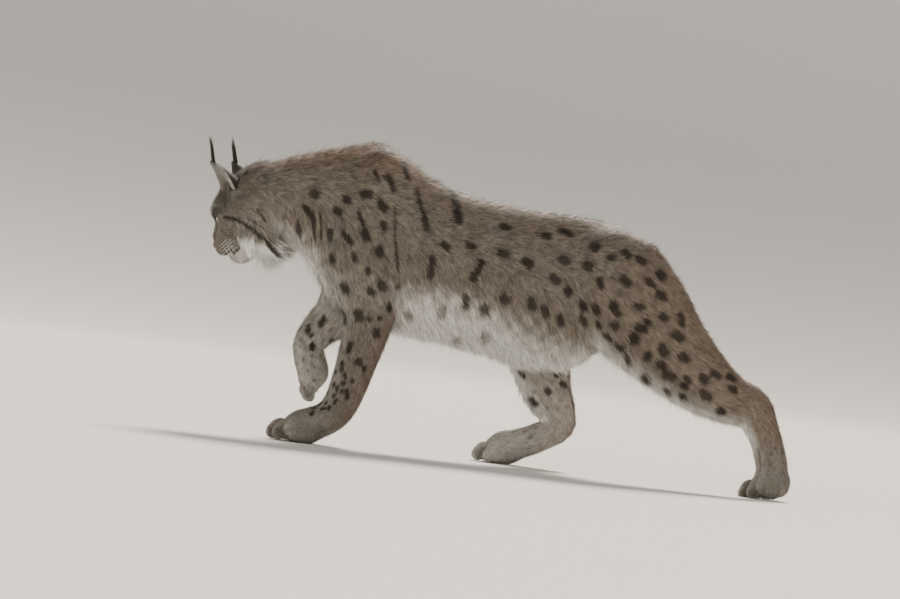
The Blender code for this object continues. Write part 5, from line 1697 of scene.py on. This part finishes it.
def add_eyes():
    material = eye_material()
    around = np.arange(64) * 2 * math.pi / 64
    angles = math.pi * np.linspace(0, 1, 42)[1:-1] ** 1.3
    for name, side in (("eye_left", 1), ("eye_right", -1)):
        gaze = np.array((math.cos(EYE_GAZE), side * math.sin(EYE_GAZE), 0.0)) @ HEAD_AXES
        across = unit(np.cross(gaze, HEAD_AXES[2]))
        up = np.cross(across, gaze)
        theta = np.concatenate(([0.0], np.repeat(angles, len(around)), [math.pi]))
        turn = np.concatenate(([0.0], np.tile(around, len(angles)), [0.0]))
        bulge = CORNEA_RISE * np.clip(1 - (theta / CORNEA_ANGLE)**2, 0, 1)
        flat = np.sin(theta)[:, None] * (np.cos(turn)[:, None] * across + np.sin(turn)[:, None] * up)
        points = (EYE_RADIUS + bulge)[:, None] * (flat + np.cos(theta)[:, None] * gaze)
        rows = 1 + np.arange(len(angles) * len(around)).reshape(len(angles), -1)
        turned = np.roll(rows, -1, axis=1)
        quads = np.stack((rows[:-1], rows[1:], turned[1:], turned[:-1]), 2).reshape(-1, 4)
        caps = [np.stack((rows[0] * 0, rows[0], turned[0]), 1)]
        caps.append(np.stack((rows[-1] * 0 + len(points) - 1, turned[-1], rows[-1]), 1))
        iris = as_rgba(theta / math.pi, 0.5 + 0.5 * np.cos(turn), 0.5 + 0.5 * np.sin(turn))
        eye = build_mesh(f"{name}_ball", points + head_point(EYE_CENTRE, side), [quads] + caps, (("iris", iris),))
        eye.data.materials.append(material)
        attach(eye, "root")
        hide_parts(name)


CORNEA_RISE = 0.0009
CORNEA_ANGLE = 0.85


def add_tubes(name, paths, radii, material):
    """Tapered tubes along paths of equal length, joined in one piece."""
    paths = np.array(paths)
    count, stations, _ = paths.shape
    run = np.gradient(paths, axis=1)
    across = unit(np.cross(run, (0.3, 0.5, 0.8)))
    over = unit(np.cross(run, across))
    share = np.linspace(0, 1, stations)
    size = np.array(radii)[:, None] * (1 - share[None]) ** 0.7 + TUBE_TIP
    rings = []
    for k in range(TUBE_SIDES):
        turn = 2 * math.pi * k / TUBE_SIDES
        rings.append(paths + size[:, :, None] * (math.cos(turn) * across + math.sin(turn) * over))
    points = np.stack(rings, 2).reshape(-1, 3)
    grid = np.arange(len(points)).reshape(count, stations, TUBE_SIDES)
    turned = np.roll(grid, -1, axis=2)
    sides = np.stack((grid[:, :-1], turned[:, :-1], turned[:, 1:], grid[:, 1:]), 3).reshape(-1, 4)
    ends = np.concatenate((grid[:, 0, ::-1], grid[:, -1]))
    item = build_mesh(name, points, [sides, ends])
    item.data.materials.append(material)
    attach(item, "root")
    return item


TUBE_SIDES = 5
TUBE_TIP = 0.00006


def whisker_paths(draw):
    """Whiskers of the muzzle in four rows a side, and a few over each eye and under the chin."""
    paths = []
    radii = []
    share = np.linspace(0, 1, 9)[:, None]
    for side in (1, -1):
        for row in range(4):
            for column in range(4):
                root = np.array((0.100 - 0.0055 * column, 0.0, -0.032 - 0.0052 * row))
                way = np.array((-0.35 - 0.16 * column, 0.75, -0.45 - 0.12 * row)) + draw.normal(0, 0.08, 3)
                length = (0.030 + 0.014 * column) * draw.uniform(0.8, 1.1)
                paths.append((root, way, side, length, 0.42))
                radii.append(0.00017)
        for number in range(4):
            root = np.array((0.074 - 0.004 * number, 0.0, 0.036 + 0.003 * number))
            way = np.array((0.85 - 0.1 * number, 0.40, 0.45)) + draw.normal(0, 0.12, 3)
            paths.append((root, way, side, 0.030 * draw.uniform(0.75, 1.15), 0.12))
            radii.append(0.00042)
        for number in range(3):
            root = np.array((0.074 - 0.005 * number, 0.0, -0.074))
            way = np.array((0.62 - 0.12 * number, 0.15, -0.76)) + draw.normal(0, 0.05, 3)
            paths.append((root, way, side, 0.036 * draw.uniform(0.8, 1.1), 0.10))
            radii.append(0.00020)
    made = []
    for root, way, side, length, droop in paths:
        root = surface_root(root, side)
        way = unit((unit(way) * (1, side, 1)) @ HEAD_AXES)
        made.append(root + length * (share * way + droop * share**2 * np.array((0.0, 0.0, -1.0))))
    return made, radii


def surface_root(place, side):
    """Move a place in the head's frame sideways out to the skin."""
    across = np.linspace(0.0, 0.07, 60)
    tries = np.column_stack((np.full(60, place[0]), across, np.full(60, place[2])))
    spots = head_point(tries, side)
    inside = skin_distance(spots) < 0
    return spots[np.nonzero(inside)[0].max()] if inside.any() else spots[0]


def add_whiskers():
    # Keratin: stiff white hair, smooth and slightly glossy
    material, _, _ = new_material("whisker_keratin", {
        "Base Color": linear("#e9e4da"), "Roughness": 0.35, "IOR": 1.55,
    })
    draw = np.random.default_rng(61)
    paths, radii = whisker_paths(draw)
    add_tubes("whiskers", paths, radii, material)


def claw_material():
    """Horn of the claws: grey-brown, in paler and darker bands."""
    material, tree, shader = new_material("claw_horn", {"Roughness": 0.3, "IOR": 1.54})
    place = add_node(tree, "ShaderNodeTexCoord")
    # Growth lines of the horn, about 0.5 mm apart
    bands = add_node(tree, "ShaderNodeTexNoise", None, {"Vector": place.outputs["Object"], "Scale": 700.0})
    ramp = add_node(tree, "ShaderNodeValToRGB", None, {"Fac": bands.outputs["Fac"]})
    set_ramp(ramp, ((0.3, "#8d7f6c"), (0.7, "#c4b8a4")))
    tree.links.new(ramp.outputs["Color"], shader.inputs["Base Color"])
    return material


def add_claws():
    """Drawn-in claws, one at each toe, with only their points showing."""
    material = claw_material()
    share = np.linspace(0, 1, 7)[:, None]
    for name, (_, paw) in LIMBS.items():
        if paw is None:
            continue
        centre, dip, scale, slant = paw
        c, s = math.cos(math.radians(dip)), math.sin(math.radians(dip))
        forward, lift = np.array((-c, 0.0, -s)), np.array((-s, 0.0, c))
        paths = []
        for toe in (-1.5, -0.5, 0.5, 1.5):
            lead = toe_lead(toe, slant) + TOE_TIP[0]
            root = forward * (lead + 0.006) + np.array((0.0, toe * TOE_PITCH, 0.0)) - lift * CLAW_DROP
            path = root + CLAW_LENGTH * (share * forward - 0.45 * share**2 * lift)
            paths.append(np.array(centre) + scale * path)
        add_tubes(f"claws_{name}", paths, [CLAW_RADIUS] * 4, material)


CLAW_LENGTH = 0.0080
CLAW_RADIUS = 0.0015
CLAW_DROP = 0.006


def paw_cleft_shade(places):
    """Painted shade in the clefts between the toes."""
    dark = np.zeros(len(places))
    for _, paw in LIMBS.values():
        if paw is None:
            continue
        centre, dip, scale, slant = paw
        near = np.nonzero(((places - np.array(centre))**2).sum(1) < (0.09 * scale)**2)[0]
        p, q, r = ((places[near] - np.array(centre)) / scale).T
        c, s = math.cos(math.radians(dip)), math.sin(math.radians(dip))
        forward = -p * c - r * s - slant * q
        gap = np.abs((q / TOE_PITCH + 0.5) % 1 - 0.5) * TOE_PITCH
        cleft = smoothstep(0.0030, 0.0008, gap) * smoothstep(0.022, 0.034, forward) * (np.abs(q) < 1.4 * TOE_PITCH)
        dark[near] = CLEFT_SHADE * cleft
    return dark


CLEFT_SHADE = 0.6


def pad_marks(places):
    """Dark rows across the whisker pad, along which the whiskers grow."""
    a, b, c = to_head(*places.T)
    pad, rows = pad_rows(a, b, c)
    corner = np.exp(-((a - 0.073) / 0.007)**2 - ((c + 0.053) / 0.006)**2)
    return np.clip(pad * (0.05 + 0.85 * rows) + 0.85 * corner, 0, 0.9)


def pad_rows(a, b, c):
    """The whisker pad's share, and the share of dark hair in its rows."""
    pad = smoothstep(1.3, 0.7, np.hypot((a - 0.092) / 0.016, (c + 0.040) / 0.012)) * (np.abs(b) > 0.010)
    return pad, 0.5 + 0.5 * np.cos(2 * math.pi * (c + 0.0395 + 0.1 * (a - 0.093)) / PAD_ROW)


PAD_ROW = 0.0058


LONG_HAIR = {"coat_belly", "coat_ruff"}
SLOTS = {"coat_tail": "coat_tail"}
COAT_SHARE = 0.97

add_camera()
add_stage()
add_lights()
SKIN_MATERIAL = skin_material()
HAIR_MATERIAL = hair_material()
add_coat(*add_skin())
add_ears(SKIN_MATERIAL, HAIR_MATERIAL)
add_eyes()
add_whiskers()
add_claws()
